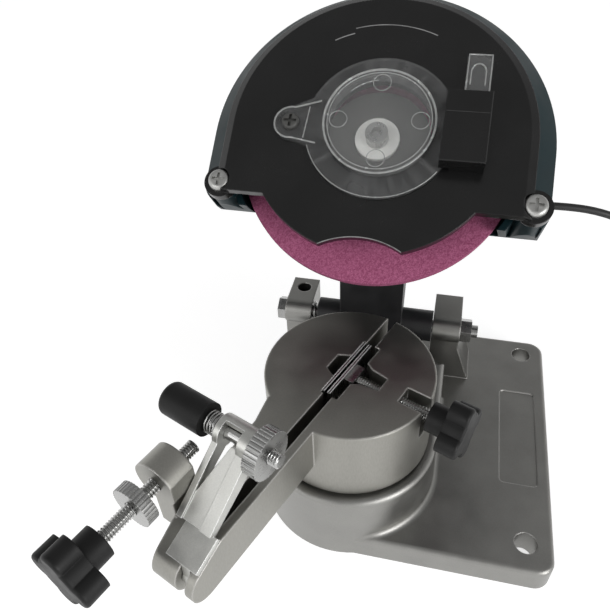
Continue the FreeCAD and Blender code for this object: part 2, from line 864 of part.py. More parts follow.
# Stop rod with its push grip, return spring and thumb nut
grip_end = grip_start - grip_length
rod_start = grip_start - grip_bore_depth
grip = crosswise(grip_radius, grip_end, grip_start, -rod_along, rod_z)
grip = grip.makeFillet(grip_round, [edge for edge in grip.Edges if edge.BoundBox.XMax < grip_end + grip_round])
save("stop_rod", crosswise(rod_radius, rod_start, rod_end, -rod_along, rod_z), vise_frame)
save("stop_grip", grip.cut(crosswise(rod_radius, rod_start, grip_start, -rod_along, rod_z)), vise_frame)
spring_room = cheek_left - grip_start - 2 * seat_gap
stop_pitch = (spring_room - stop_spring_wire) / stop_spring_turns
stop_stations = helix_stations(stop_spring_radius, stop_pitch, stop_spring_turns,
                               rod_centre + Vector(grip_start + seat_gap + stop_spring_wire / 2, 0, 0), 4)
stop_points = [station[0] for station in helix_stations(stop_spring_radius, stop_pitch, stop_spring_turns,
                                                        Vector(), 24)]
print("stop spring gap", round(least_gap(stop_points, 12, stop_spring_wire), 2))
save("stop_spring", wound_tube(stop_spring_wire / 2, stop_stations, 0, 0), vise_frame)
save("thumb_nut", moved(
    knurled_nut(thumb_nut_radius, rod_radius + running_fit, thumb_nut_thickness),
    rod_centre + Vector(cheek_right + seat_gap, 0, 0), Vector(1, 0, 0)), vise_frame)

# Turntable lock: a stud fixed in the turntable, with a washer and a four-armed knob inside the hollow boss
boss_ceiling = boss_height - boss_skin
lock_washer_low = boss_ceiling - lock_washer_thickness
lock_top = lock_washer_low - seat_gap
save("lock_stud", upright(lock_stud_radius, lock_stud_bottom, lock_stud_top), vise_frame)
save("lock_washer", upright(lock_washer_radius, lock_washer_low, boss_ceiling).cut(
    upright(lock_stud_radius + running_fit, lock_washer_low, boss_ceiling)), vise_frame)
lock_knob = moved(
    four_arm_knob(lock_knob_hub_radius, lock_knob_hub_length, lock_knob_arm_radius, lock_knob_arm_width,
                  lock_knob_arm_thickness, lock_knob_arm_width),
    Vector(0, 0, lock_top), Vector(0, 0, -1))
save("lock_knob", lock_knob.cut(upright(lock_stud_radius + running_fit, lock_stud_bottom - seat_gap, lock_top)),
     vise_frame)


# Head bracket: hinge barrel and arm under the motor. In the head's frame +Z is the spindle, towards the wheel.
def head_bracket():
    barrel = crosswise(barrel_radius, -barrel_left, barrel_right, -hinge_drop, -hinge_behind)
    reach = (Vector(0, 0, arm_rear) - hinge_in_head).normalize() * barrel_radius
    outline = [
        Vector(-arm_half_width, -motor_radius, arm_front),
        Vector(-arm_half_width, -motor_radius * 0.7, arm_front),
        Vector(-arm_half_width, -motor_radius * 0.7, arm_rear),
        Vector(-arm_half_width, -hinge_drop + reach.z * 0.3, -hinge_behind - barrel_radius * 0.9),
        Vector(-arm_half_width, -hinge_drop, -hinge_behind),
        Vector(-arm_half_width, -hinge_drop - barrel_radius * 0.8, -hinge_behind + barrel_radius * 0.6),
    ]
    arm = prism(outline, Vector(2 * arm_half_width, 0, 0))
    arm = arm.cut(upright(motor_radius + running_fit, cap_end, arm_front))
    bracket = solid_of([barrel, arm])
    screw_top = -motor_radius + motor_wall
    holes = [
        rod(fixing_radius + running_fit, Vector(x, screw_top, fixing_n - motor_wall),
            Vector(x, screw_top - fixing_length, fixing_n - motor_wall))
        for x in (-bracket_screw_x, bracket_screw_x)
    ]
    spring_end = return_spring_depth - barrel_left
    return bracket.cut(holes + [
        crosswise(hinge_bolt_radius + running_fit, -barrel_left, barrel_right, -hinge_drop, -hinge_behind),
        crosswise(return_spring_bore, -barrel_left, spring_end, -hinge_drop, -hinge_behind),
    ])


save("head_bracket", head_bracket(), head_frame)

# Return spring round the hinge bolt, in the barrel's open left end
return_stations = helix_stations(
    return_spring_radius, return_spring_pitch, return_spring_turns,
    hinge_in_head + Vector(-ear_inner + seat_gap + return_spring_wire / 2, 0, 0), 4)
return_points = [station[0] for station in helix_stations(
    return_spring_radius, return_spring_pitch, return_spring_turns, Vector(), 24)]
print("return spring gap", round(least_gap(return_points, 12, return_spring_wire), 2))
save("return_spring", wound_tube(return_spring_wire / 2, return_stations, 0, 0), head_frame)


# Wheel housing: a shell behind and round the wheel, open below, with a hollow screw lug at each side
lug_spots = ((left_lug_x, left_lug_y), (right_lug_x, right_lug_y))


def guard_wire(radius, bottom, level):
    """A round top, straight sides and a flat bottom with rounded corners."""
    left = Vector(-radius, 0, level)
    right = Vector(radius, 0, level)
    edges = [Part.Arc(left, Vector(0, radius, level), right).toShape()]
    turn = corner_round * math.sqrt(0.5)
    inner_x = radius - corner_round
    inner_y = -bottom + corner_round
    low_right = Vector(inner_x, -bottom, level)
    low_left = Vector(-inner_x, -bottom, level)
    side_right = Vector(radius, inner_y, level)
    side_left = Vector(-radius, inner_y, level)
    edges.append(Part.LineSegment(right, side_right).toShape())
    edges.append(Part.Arc(side_right, Vector(inner_x + turn, inner_y - turn, level), low_right).toShape())
    edges.append(Part.LineSegment(low_right, low_left).toShape())
    edges.append(Part.Arc(low_left, Vector(-inner_x - turn, inner_y - turn, level), side_left).toShape())
    edges.append(Part.LineSegment(side_left, left).toShape())
    return Part.Wire(edges)


def guard_block(inset, bottom, back, front):
    """The housing's outer form, or its hollow when inset by the wall."""
    depth = housing_side_front - back
    straight = Part.Face(guard_wire(housing_radius - inset, bottom, back)).extrude(Vector(0, 0, depth))
    bevel = Part.makeLoft([
        guard_wire(housing_radius - inset, bottom, housing_side_front),
        guard_wire(seam_radius - inset, bottom, front),
    ], True, True)
    return solid_of([straight, bevel])


def wheel_housing():
    floor = housing_back + housing_wall
    shell = guard_block(0, housing_bottom, housing_back, seam_front)
    shell = shell.cut(guard_block(housing_wall, 2 * housing_bottom, floor, seam_front))
    rib_back = floor - housing_wall / 2
    rib_ring = upright(wheel_radius + wheel_room + housing_wall, rib_back, housing_side_front)
    rib_top = lug_rib_height - housing_bottom
    pieces = [shell]
    for x, y in lug_spots:
        side = math.copysign(1, x)
        inner = side * wheel_radius / 2
        outer = side * (housing_radius - housing_wall / 2)
        reach = (min(inner, outer), max(inner, outer))
        pieces.append(upright(lug_radius, rib_back, lug_front, x=x, y=y))
        pieces.append(rib_ring.common(box(*reach, -housing_bottom, rib_top, rib_back, housing_side_front)))
        pieces.append(box(*reach, rib_top - housing_wall, rib_top, rib_back, housing_side_front))
    shell = solid_of(pieces)
    cuts = [
        upright(spindle_hole_radius, housing_back, floor),
        upright(wheel_radius + wheel_room, floor, housing_side_front),
    ]
    for x, y in lug_spots:
        cuts.append(upright(cover_screw_radius + running_fit, cover_ear_front - cover_screw_length, lug_front, x=x, y=y))
        cuts.append(upright(cover_ear_radius + seat_gap, lug_front, seam_front, x=x, y=y))
    for x in (-housing_screw_spot, housing_screw_spot):
        for y in (-housing_screw_spot, housing_screw_spot):
            cuts.append(upright(fixing_radius + running_fit, housing_back, floor, x=x, y=y))
    cuts.append(prism([
        Vector(-housing_radius, -housing_bottom, housing_side_front),
        Vector(-housing_radius, -housing_back_bottom, housing_back),
        Vector(-housing_radius, -2 * housing_bottom, housing_back),
        Vector(-housing_radius, -2 * housing_bottom, housing_side_front),
    ], Vector(2 * housing_radius, 0, 0)))
    return shell.cut(cuts)


save("wheel_housing", wheel_housing(), head_frame)


# Wheel cover: black front plate with a rounded shoulder, a round chin with an arch, and two screw ears
def cover_wire(radius, level):
    crown_left = Vector(-radius, 0, level)
    crown_right = Vector(radius, 0, level)
    foot_left = Vector(-radius, -cover_bottom, level)
    foot_right = Vector(radius, -cover_bottom, level)
    chin_left = Vector(-math.sqrt(chin_radius ** 2 - cover_bottom ** 2), -cover_bottom, level)
    chin_right = Vector(-chin_left.x, -cover_bottom, level)
    point_left = Vector(-chin_half, -math.sqrt(chin_radius ** 2 - chin_half ** 2), level)
    point_right = Vector(chin_half, point_left.y, level)

    def chin_side(start, end):
        middle = start + end - Vector(0, 0, 2 * level)
        return Part.Arc(start, middle * (chin_radius / middle.Length) + Vector(0, 0, level), end).toShape()

    return Part.Wire([
        Part.Arc(crown_left, Vector(0, radius, level), crown_right).toShape(),
        Part.LineSegment(crown_right, foot_right).toShape(),
        Part.LineSegment(foot_right, chin_right).toShape(),
        chin_side(chin_right, point_right),
        Part.Arc(point_right, Vector(0, -chin_arch, level), point_left).toShape(),
        chin_side(point_left, chin_left),
        Part.LineSegment(chin_left, foot_left).toShape(),
        Part.LineSegment(foot_left, crown_left).toShape(),
    ])


def wheel_cover():
    edge_level = seam_front + cover_edge
    edge = Part.Face(cover_wire(seam_radius, seam_front)).extrude(Vector(0, 0, cover_edge))
    shoulder = Part.makeLoft([
        cover_wire(seam_radius, edge_level),
        cover_wire(cover_shoulder_radius, cover_front),
    ], True, True)
    pieces = [edge, shoulder]
    for x, y in lug_spots:
        pieces.append(upright(cover_ear_radius, lug_front, cover_ear_front, x=x, y=y))
    cover = solid_of(pieces)
    inside = Part.Face(guard_wire(cover_shoulder_radius - cover_plate, cover_bottom - cover_plate, seam_front))
    cuts = [
        inside.extrude(Vector(0, 0, cover_front - cover_plate - seam_front)),
        upright(window_hole_radius, seam_front, cover_front, x=window_x, y=window_y),
        upright(window_pin_radius + running_fit, cover_front - window_pin_depth, cover_front, x=-window_pin_x),
    ]
    for x, y in lug_spots:
        cuts.append(upright(cover_screw_radius + running_fit, lug_front, cover_ear_front, x=x, y=y))
        cuts.append(upright(cover_screw_head_radius + seat_gap, cover_ear_front, cover_front, x=x, y=y))
    return cover.cut(cuts)


save("wheel_cover", wheel_cover(), head_frame)

# Two cross-recess screws that hold the cover to the housing's lugs
cover_screw = cross_recess_screw(cover_screw_head_radius, cover_screw_head_height, cover_screw_radius,
                                 cover_screw_length - seat_gap)
save("cover_screws", Part.makeCompound([
    moved(cover_screw, Vector(x, y, cover_ear_front)) for x, y in lug_spots
]), head_frame)

# Hub window: clear cup over the wheel screw, with a flange and a tab that turns on a small screw
flange_top = cover_front + window_flange_thickness
cup_top = cover_front + cup_height


def hub_window():
    tangent = math.sqrt(window_flange_radius ** 2 - window_tab_root ** 2)
    tab = prism([
        Vector(window_x - tangent, window_y + window_tab_root, cover_front),
        Vector(-window_pin_x, window_tab_radius, cover_front),
        Vector(-window_pin_x, -window_tab_radius, cover_front),
        Vector(window_x - tangent, window_y - window_tab_root, cover_front),
    ], Vector(0, 0, window_flange_thickness))
    whole = solid_of([
        upright(window_flange_radius, cover_front, flange_top, x=window_x, y=window_y),
        upright(cup_radius, cover_front, cup_top, x=window_x, y=window_y),
        tab,
        upright(window_tab_radius, cover_front, flange_top, x=-window_pin_x),
    ])
    return whole.cut([
        upright(cup_radius - cup_skin, cover_front, cup_top - cup_skin, x=window_x, y=window_y),
        upright(window_pin_radius + running_fit, cover_front, flange_top, x=-window_pin_x),
    ])


save("hub_window", hub_window(), head_frame)
pin_head_low = flange_top + running_fit
save("window_pin", moved(cross_recess_screw(window_pin_head_radius, window_pin_head_height, window_pin_radius,
                                            window_flange_thickness + window_pin_depth),
                         Vector(-window_pin_x, 0, pin_head_low)), head_frame)


# Latch: a black block that overhangs the window's flange, and a clear tongue that pulls out of its top
def latch_block():
    block = box(latch_left, latch_right, latch_bottom, latch_top, cover_front, cover_front + latch_height)
    swing = math.hypot(window_pin_x + window_x, window_y)
    flange_reach = swing + window_flange_radius + seat_gap
    cup_reach = swing + cup_radius + seat_gap
    block = rounded(block, latch_rim, lambda ends: all(point.z > cover_front + latch_height / 2 for point in ends))
    return block.cut([
        upright(flange_reach, cover_front, flange_top + seat_gap, x=-window_pin_x),
        upright(cup_reach, cover_front, cover_front + latch_height, x=-window_pin_x),
        box(tongue_left - tongue_clearance, tongue_right + tongue_clearance, tongue_bottom - tongue_clearance,
            latch_top, cover_front, cover_front + tongue_thickness + 2 * tongue_clearance),
    ])


save("latch_block", latch_block(), head_frame)
tongue_low = cover_front + tongue_clearance
tongue = box(tongue_left, tongue_right, tongue_bottom, tongue_end, tongue_low, tongue_low + tongue_thickness)
tongue = rounded(tongue, tongue_thickness, lambda ends: all(point.y > tongue_end - 1 for point in ends)
                 and abs(ends[0].z - ends[1].z) > tongue_thickness / 2)
save("latch_tongue", tongue, head_frame)

# Grinding wheel between two flanges, held by a washer and a socket screw in the end of the motor shaft
washer_low = wheel_thickness + outer_flange_thickness
screw_low = washer_low + washer_thickness
screw_top = screw_low + wheel_screw_head_height
screw_tip = screw_low - wheel_screw_length
register_radius = wheel_bore_radius - running_fit
nose_radius = front_bearing_bore - running_fit
save("grinding_wheel", upright(wheel_radius, 0, wheel_thickness).cut(
    upright(wheel_bore_radius, 0, wheel_thickness)), head_frame)
save("inner_flange", solid_of([
    upright(flange_radius, -inner_flange_thickness, 0),
    upright(register_radius, 0, register_length),
]).cut(upright(nose_radius + running_fit, -inner_flange_thickness, register_length)), head_frame)
save("outer_flange", upright(flange_radius, wheel_thickness, washer_low).cut(
    upright(wheel_screw_radius + running_fit, wheel_thickness, washer_low)), head_frame)
save("wheel_washer", upright(washer_radius, washer_low, screw_low).cut(
    upright(wheel_screw_radius + running_fit, washer_low, screw_low)), head_frame)
save("wheel_screw", solid_of([
    upright(wheel_screw_head_radius, screw_low, screw_top),
    upright(wheel_screw_radius, screw_tip, screw_low),
]).cut(hexagon(socket_flats, Vector(0, 0, screw_top - socket_depth), Vector(0, 0, screw_top))), head_frame)

# Motor shaft in two ball bearings, with fan, armature core and commutator
bearing_front = housing_back - motor_front_wall
cap_floor = cap_end + motor_wall
bearing_rear = cap_floor + rear_bearing_width
tail_radius = rear_bearing_bore - running_fit
save("motor_shaft", solid_of([
    upright(nose_radius, shaft_front_step, register_length),
    upright(shaft_radius, shaft_rear_step, shaft_front_step),
    upright(tail_radius, cap_floor, shaft_rear_step),
]).cut(upright(wheel_screw_radius + running_fit, screw_tip - seat_gap, register_length)), head_frame)
save("front_bearing", upright(front_bearing_radius, bearing_front - front_bearing_width, bearing_front).cut(
    upright(front_bearing_bore, bearing_front - front_bearing_width, bearing_front)), head_frame)
save("rear_bearing", upright(rear_bearing_radius, cap_floor, bearing_rear).cut(
    upright(rear_bearing_bore, cap_floor, bearing_rear)), head_frame)


def cooling_fan():
    blades = []
    for step in range(fan_blades):
        blade = box(shaft_radius, fan_radius, 0, fan_disc, fan_rear, fan_front)
        blade.rotate(Vector(), Vector(0, 0, 1), 360 * step / fan_blades)
        blades.append(blade)
    disc = upright(fan_radius, fan_rear, fan_rear + fan_disc)
    hub = upright(shaft_radius + housing_wall, fan_rear, fan_front)
    return solid_of([disc, hub] + blades).cut(upright(shaft_radius, fan_rear, fan_front))


save("cooling_fan", cooling_fan(), head_frame)
save("armature_core", upright(core_radius, core_rear, core_front).cut(
    upright(shaft_radius, core_rear, core_front)), head_frame)
save("commutator", upright(commutator_radius, commutator_rear, commutator_front).cut(
    upright(shaft_radius, commutator_rear, commutator_front)), head_frame)

# Stator, a push fit in the housing
save("stator", upright(stator_radius, stator_rear, stator_front).cut(
    upright(stator_bore_radius, stator_rear, stator_front)), head_frame)

# Carbon brushes in brass holders on both sides of the commutator
brushes = []
holders = []
for side in (-1, 1):
    brushes.append(crosswise(brush_radius, side * brush_start, side * brush_end, 0, brush_n))
    holders.append(crosswise(brush_holder_radius, side * brush_holder_start, side * brush_holder_end, 0, brush_n).cut(
        crosswise(brush_radius + running_fit, side * brush_holder_start, side * brush_holder_end, 0, brush_n)))
save("carbon_brushes", Part.makeCompound(brushes), head_frame)
save("brush_holders", Part.makeCompound(holders), head_frame)


# Motor housing: a teal tube closed at the wheel end, where it carries the front bearing
def motor_housing():
    inner_front = housing_back - motor_front_wall
    tube = upright(motor_radius, motor_end, housing_back).cut(
        upright(motor_radius - motor_wall, motor_end, inner_front))
    pocket = upright(front_bearing_radius + bearing_shell, inner_front - front_bearing_width, inner_front)
    whole = solid_of([tube, pocket])
    cuts = [
        upright(spindle_hole_radius, inner_front, housing_back),
        upright(front_bearing_radius, inner_front - front_bearing_width, inner_front),
    ]
    screw_n = fixing_n - motor_wall
    for x, side in ((bracket_screw_x, -1), (handle_screw_x, 1)):
        for place in (-x, x):
            cuts.append(rod(fixing_radius + running_fit, Vector(place, side * (motor_radius - 2 * motor_wall), screw_n),
                            Vector(place, side * motor_radius, screw_n)))
    for x in (-housing_screw_spot, housing_screw_spot):
        for y in (-housing_screw_spot, housing_screw_spot):
            cuts.append(upright(fixing_radius + running_fit, inner_front, housing_back, x=x, y=y))
    cuts.append(crosswise(fixing_radius + running_fit, -motor_radius, motor_radius, 0, cap_screw_n))
    cuts.append(crosswise(relief_radius + running_fit, 0, motor_radius, relief_y, relief_n))
    return whole.cut(cuts)


save("motor_housing", motor_housing(), head_frame)


# End cap: tapered rear cover with the rear bearing, cooling slots and the cord's exit
def motor_end_cap():
    length = motor_end - cap_end
    outer = Part.makeCone(motor_radius, cap_radius, length, Vector(0, 0, motor_end), Vector(0, 0, -1))
    inner = Part.makeCone(motor_radius - motor_wall, cap_radius - motor_wall, length - motor_wall,
                          Vector(0, 0, motor_end), Vector(0, 0, -1))
    pocket = upright(rear_bearing_radius + bearing_shell, cap_floor, bearing_rear)
    spigot_outer = motor_radius - motor_wall - running_fit
    spigot_inner = spigot_outer - cap_spigot_wall
    spigot = upright(spigot_outer, motor_end - motor_wall, motor_end + cap_spigot).cut(
        upright(spigot_inner, motor_end - motor_wall, motor_end + cap_spigot))
    cap = solid_of([outer.cut(inner), pocket, spigot])
    cuts = [upright(rear_bearing_radius, cap_floor, bearing_rear)]
    for step in range(vent_count):
        vent = box(cap_radius - 2 * motor_wall, motor_radius, -vent_width / 2, vent_width / 2, vent_rear, vent_front)
        vent.rotate(Vector(), Vector(0, 0, 1), 360 * (step + 0.5) / vent_count)
        cuts.append(vent)
    cuts.append(crosswise(fixing_radius + running_fit, -motor_radius, motor_radius, 0, cap_screw_n))
    cuts.append(crosswise(relief_radius, relief_start - cap_spigot_wall, motor_radius, relief_y, relief_n))
    return cap.cut(cuts)


save("motor_end_cap", motor_end_cap(), head_frame)

# Screws of the housing, the end cap, the bracket and the handle
fixing = cross_recess_screw(fixing_head_radius, fixing_head_height, fixing_radius, fixing_length)
housing_floor = housing_back + housing_wall
short_fixing = cross_recess_screw(fixing_head_radius, fixing_head_height, fixing_radius,
                                  housing_wall + motor_front_wall)
save("housing_screws", Part.makeCompound([
    moved(short_fixing, Vector(x, y, housing_floor))
    for x in (-housing_screw_spot, housing_screw_spot) for y in (-housing_screw_spot, housing_screw_spot)
]), head_frame)
cap_screw = cross_recess_screw(fixing_head_radius, fixing_head_height, fixing_radius, cap_screw_length)
save("end_cap_screws", Part.makeCompound([
    moved(cap_screw, Vector(side * motor_radius, 0, cap_screw_n), Vector(side, 0, 0)) for side in (-1, 1)
]), head_frame)
inner_wall = motor_radius - motor_wall
fixing_place_n = fixing_n - motor_wall


def seat_height(x):
    """How far a screw head's rim sits from the spindle's axis inside the round housing."""
    return math.sqrt(inner_wall ** 2 - (x + fixing_head_radius) ** 2)


save("bracket_screws", Part.makeCompound([
    moved(fixing, Vector(x, -seat_height(bracket_screw_x), fixing_place_n), Vector(0, 1, 0))
    for x in (-bracket_screw_x, bracket_screw_x)
]), head_frame)
save("handle_screws", Part.makeCompound([
    moved(fixing, Vector(x, seat_height(handle_screw_x), fixing_place_n), Vector(0, -1, 0))
    for x in (-handle_screw_x, handle_screw_x)
]), head_frame)

# Handle on top of the motor, with a rocker switch in its end
handle = box(-handle_half_width, handle_half_width, motor_radius * 0.7, handle_top, handle_rear, handle_front)
handle = rounded(handle, handle_round, lambda ends: abs(ends[0].y - ends[1].y) > 1)
switch_low = handle_top - switch_depth
handle_cuts = [
    upright(motor_radius + running_fit, handle_rear, handle_front),
    box(-switch_half_width, switch_half_width, switch_low, handle_top, switch_n - switch_half_length,
        switch_n + switch_half_length),
]
for x in (-handle_screw_x, handle_screw_x):
    handle_cuts.append(rod(fixing_radius + running_fit, Vector(x, 0, fixing_place_n),
                           Vector(x, inner_wall + fixing_length, fixing_place_n)))
save("handle", handle.cut(handle_cuts), head_frame)

rocker_pivot = Vector(0, handle_top - rocker_pivot_depth, switch_n)


def rocker():
    """A rocker with a dished top, cut to stay inside its frame at both ends of its travel."""
    low = rocker_pivot.y - rocker_pivot_depth
    body = prism([
        Vector(-rocker_half_width, low, switch_n),
        Vector(-rocker_half_width, rocker_pivot.y, switch_n - rocker_half_length),
        Vector(-rocker_half_width, handle_top + rocker_rise, switch_n - rocker_half_length),
        Vector(-rocker_half_width, handle_top + rocker_rise / 2, switch_n),
        Vector(-rocker_half_width, handle_top + rocker_rise, switch_n + rocker_half_length),
        Vector(-rocker_half_width, rocker_pivot.y, switch_n + rocker_half_length),
    ], Vector(2 * rocker_half_width, 0, 0))
    body.rotate(rocker_pivot, Vector(1, 0, 0), -rocker_angle)
    return body


rocker_swing = math.sqrt(rocker_half_length ** 2 + (rocker_rise + rocker_pivot_depth) ** 2)
switch_room = solid_of([
    crosswise(rocker_swing + seat_gap, -rocker_half_width - seat_gap, rocker_half_width + seat_gap, rocker_pivot.y,
              rocker_pivot.z),
])
save("switch_body", box(-switch_half_width, switch_half_width, switch_low, handle_top,
                        switch_n - switch_half_length, switch_n + switch_half_length).cut(switch_room), head_frame)
save("switch_rocker", rocker(), head_frame)

# Strain relief where the cord leaves the end cap on the right
relief_way = Vector(1, 0, 0)
relief_tip = Vector(relief_end, relief_y, relief_n)
save("strain_relief", solid_of([
    crosswise(relief_radius, relief_start, relief_collar, relief_y, relief_n),
    Part.makeCone(relief_radius, relief_tip_radius, relief_end - relief_room - relief_collar,
                  Vector(relief_collar, relief_y, relief_n), relief_way),
]), head_frame)

# Cord from the relief down to the bench, a round coil of four layers, and a short tail to the plug
coil_low = tie_thickness + seat_gap + cord_radius
coil_start = Vector(coil_x, coil_y + coil_radius, coil_low)
cord_points = [
    head_frame.multVec(relief_tip),
    Vector(61, 105.8, 86.8),
    Vector(78, 106.6, 87.6),
    Vector(95, 107.8, 86.6),
    Vector(111, 109.2, 81.5),
    Vector(124, 110.4, 71.5),
    Vector(133, 111.0, 57.5),
    Vector(139, 111.3, 41.5),
    Vector(145, 111.4, 25.5),
    Vector(154.5, 111.3, 12.0),
    Vector(168, 111, coil_low + 0.8),
    coil_start,
]
save("cord", cord_tube(cord_radius, cord_points), bench_frame)
layer_turns = coil_loops / coil_layers


def coil_point(turns):
    """The coil winds inwards and outwards by turns, and climbs a layer in half a turn where it reverses."""
    layer = min(int(turns / layer_turns), coil_layers - 1)
    inwards = turns - layer * layer_turns
    if layer % 2 == 1:
        inwards = layer_turns - inwards
    radius = coil_radius - coil_step * inwards
    climbed = sum(min(max(2 * (turns - top * layer_turns) + 0.5, 0), 1) for top in range(1, coil_layers))
    angle = math.pi / 2 - 2 * math.pi * turns
    return Vector(coil_x + radius * math.cos(angle), coil_y + radius * math.sin(angle),
                  coil_low + coil_step * climbed)


def coil_way(turns):
    small = 0.001
    before = coil_point(max(turns - small, 0))
    after = coil_point(min(turns + small, coil_loops))
    return (after - before).normalize()


coil_stations = [(coil_point(step / 4), coil_way(step / 4)) for step in range(int(4 * coil_loops) + 1)]
coil_stations[0] = (coil_start, Vector(1, 0, 0))
coil_stations[-1] = (coil_point(coil_loops), Vector(0, -1, 0))
coil_points = [coil_point(step / 48) for step in range(int(48 * coil_loops) + 1)]
print("coil gap", round(least_gap(coil_points, 24, 2 * cord_radius), 2))
coil_tube = wound_tube(cord_radius, coil_stations, 0, 2 * cord_radius)
print("coil volume over section times length", round(coil_tube.Volume / (math.pi * cord_radius ** 2 * sum(
    (after - before).Length for before, after in zip(coil_points, coil_points[1:]))), 3))
save("cord_coil", coil_tube, bench_frame)
tail_start = coil_point(coil_loops) - Vector(0, 2 * cord_radius, 0)
plug_z = plug_height / 2 + coil_lift
tail_points = [
    tail_start,
    tail_start + Vector(0, -13, -0.6),
    tail_start + Vector(0.3, -26.5, -3.6),
    tail_start + Vector(0.3, -40, -7.4),
    Vector(tail_start.x, tail_start.y - 53, plug_z),
]
save("cord_tail", cord_tube(cord_radius, tail_points), bench_frame)

# Tie strap round the coil
tie_inner = coil_radius - coil_step * layer_turns - cord_radius - tie_room
tie_outer = coil_radius + cord_radius + tie_room
tie_top = coil_low + coil_step * (coil_layers - 1) + cord_radius + seat_gap
save("cord_tie", box(coil_x - tie_width / 2, coil_x + tie_width / 2, coil_y - tie_outer - tie_thickness,
                     coil_y - tie_inner + tie_thickness, 0, tie_top + tie_thickness).cut(
    box(coil_x - tie_width, coil_x + tie_width, coil_y - tie_outer, coil_y - tie_inner, tie_thickness, tie_top)),
    bench_frame)

# Moulded plug with two round pins, lying beside the coil
plug_start = tail_points[-1] - Vector(0, plug_room, 0)
plug_way = Vector(0, -1, 0)
plug_back = plug_start.y - plug_collar_length
plug_front = plug_back - plug_length
plug_block = box(plug_start.x - plug_width / 2, plug_start.x + plug_width / 2, plug_front, plug_back,
                 plug_start.z - plug_height / 2, plug_start.z + plug_height / 2)
plug_block = rounded(plug_block, plug_round, lambda ends: abs(ends[0].y - ends[1].y) > 1)
save("plug_body", solid_of([
    plug_block,
    Part.makeCone(cord_radius + running_fit, plug_collar_radius, plug_collar_length, plug_start, plug_way),
]), bench_frame)
save("plug_pins", Part.makeCompound([
    lengthwise(pin_radius, plug_front - pin_length, plug_front, plug_start.x + side * pin_spacing / 2, plug_start.z)
    for side in (-1, 1)
]), bench_frame)
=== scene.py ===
import json
import math

import bmesh
import bpy
from mathutils import Matrix, Vector


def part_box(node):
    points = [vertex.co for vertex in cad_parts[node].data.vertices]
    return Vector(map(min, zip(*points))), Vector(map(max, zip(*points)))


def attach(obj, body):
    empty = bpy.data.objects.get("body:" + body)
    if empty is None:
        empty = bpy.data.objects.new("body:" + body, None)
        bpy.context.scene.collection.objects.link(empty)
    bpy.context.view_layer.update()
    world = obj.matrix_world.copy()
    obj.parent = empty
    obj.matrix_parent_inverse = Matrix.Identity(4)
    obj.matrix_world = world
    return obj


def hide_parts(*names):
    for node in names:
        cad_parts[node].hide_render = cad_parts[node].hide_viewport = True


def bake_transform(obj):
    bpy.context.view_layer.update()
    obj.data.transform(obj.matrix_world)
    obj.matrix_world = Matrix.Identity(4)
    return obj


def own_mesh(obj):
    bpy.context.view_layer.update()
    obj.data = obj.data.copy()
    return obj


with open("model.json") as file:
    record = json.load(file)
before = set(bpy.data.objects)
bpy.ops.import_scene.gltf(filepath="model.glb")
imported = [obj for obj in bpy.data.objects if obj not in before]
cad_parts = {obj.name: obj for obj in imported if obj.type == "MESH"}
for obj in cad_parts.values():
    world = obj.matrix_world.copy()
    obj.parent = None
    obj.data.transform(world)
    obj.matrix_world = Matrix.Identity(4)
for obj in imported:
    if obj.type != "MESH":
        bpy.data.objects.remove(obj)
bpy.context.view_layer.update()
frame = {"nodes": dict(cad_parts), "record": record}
scene = bpy.context.scene
scene.view_settings.view_transform = "Standard"

# Camera: it stands where the photographer stood, in front of the machine, a little to its left and well
# above it. Its place and angles come from the fitted view of the base, the disc and the guard.
camera_place = Vector((-0.04878, -0.19536, 0.25509))
yaw = math.radians(-14.79)
pitch = math.radians(41.51)
roll = math.radians(2.71)
sensor_width = 36.0
focal_length = 37.71
nearest_seen = 0.01


def put(name, data):
    """Add an object with this data to the scene."""
    thing = bpy.data.objects.new(name, data)
    scene.collection.objects.link(thing)
    return thing


forward = Vector((math.sin(yaw) * math.cos(pitch), math.cos(yaw) * math.cos(pitch), -math.sin(pitch)))
level = Vector((math.cos(yaw), -math.sin(yaw), 0.0))
down = forward.cross(level)
rightwards = level * math.cos(roll) + down * math.sin(roll)
downwards = down * math.cos(roll) - level * math.sin(roll)
camera_turn = Matrix((rightwards, -downwards, -forward)).transposed().to_4x4()
camera = put("camera", bpy.data.cameras.new("camera"))
camera.data.sensor_width = sensor_width
camera.data.lens = focal_length
camera.data.clip_start = nearest_seen
camera.matrix_world = Matrix.Translation(camera_place) @ camera_turn
scene.camera = camera

# Floor: a round sheet of pale studio paper under the machine, with its rim turned up as a backdrop.
# It is white to the camera, in metal and through glass, and still takes the machine's soft shadow.
floor_radius = 4.0
rim_radius = 4.4
rim_height = 1.8
floor_sides = 64
paper_tone = 0.6
paper_glow = 0.74


def arc_points(centre, radius_x, radius_y, angles, height):
    """Points of a round or an oval at the given angles, in degrees."""
    turns = [math.radians(angle) for angle in angles]
    return [(centre[0] + radius_x * math.cos(turn), centre[1] + radius_y * math.sin(turn), height)
            for turn in turns]


def feed(tree, node, inputs):
    """Give each named input of a node its value, or a link from the socket that feeds it."""
    for name, value in inputs.items():
        if isinstance(value, bpy.types.NodeSocket):
            tree.links.new(value, node.inputs[name])
        else:
            node.inputs[name].default_value = value


def add(tree, kind, inputs=None, **settings):
    """Add a node to a tree, with its settings and its inputs."""
    node = tree.nodes.new(kind)
    for name, value in settings.items():
        setattr(node, name, value)
    feed(tree, node, inputs or {})
    return node


def maths(tree, operation, *values):
    """One step of arithmetic in a tree, on sockets or plain numbers."""
    return add(tree, "ShaderNodeMath", dict(enumerate(values)), operation=operation).outputs[0]


def surface(name):
    """A new material, with its tree and its main shader."""
    material = bpy.data.materials.new(name)
    material.use_nodes = True
    return material, material.node_tree, material.node_tree.nodes["Principled BSDF"]


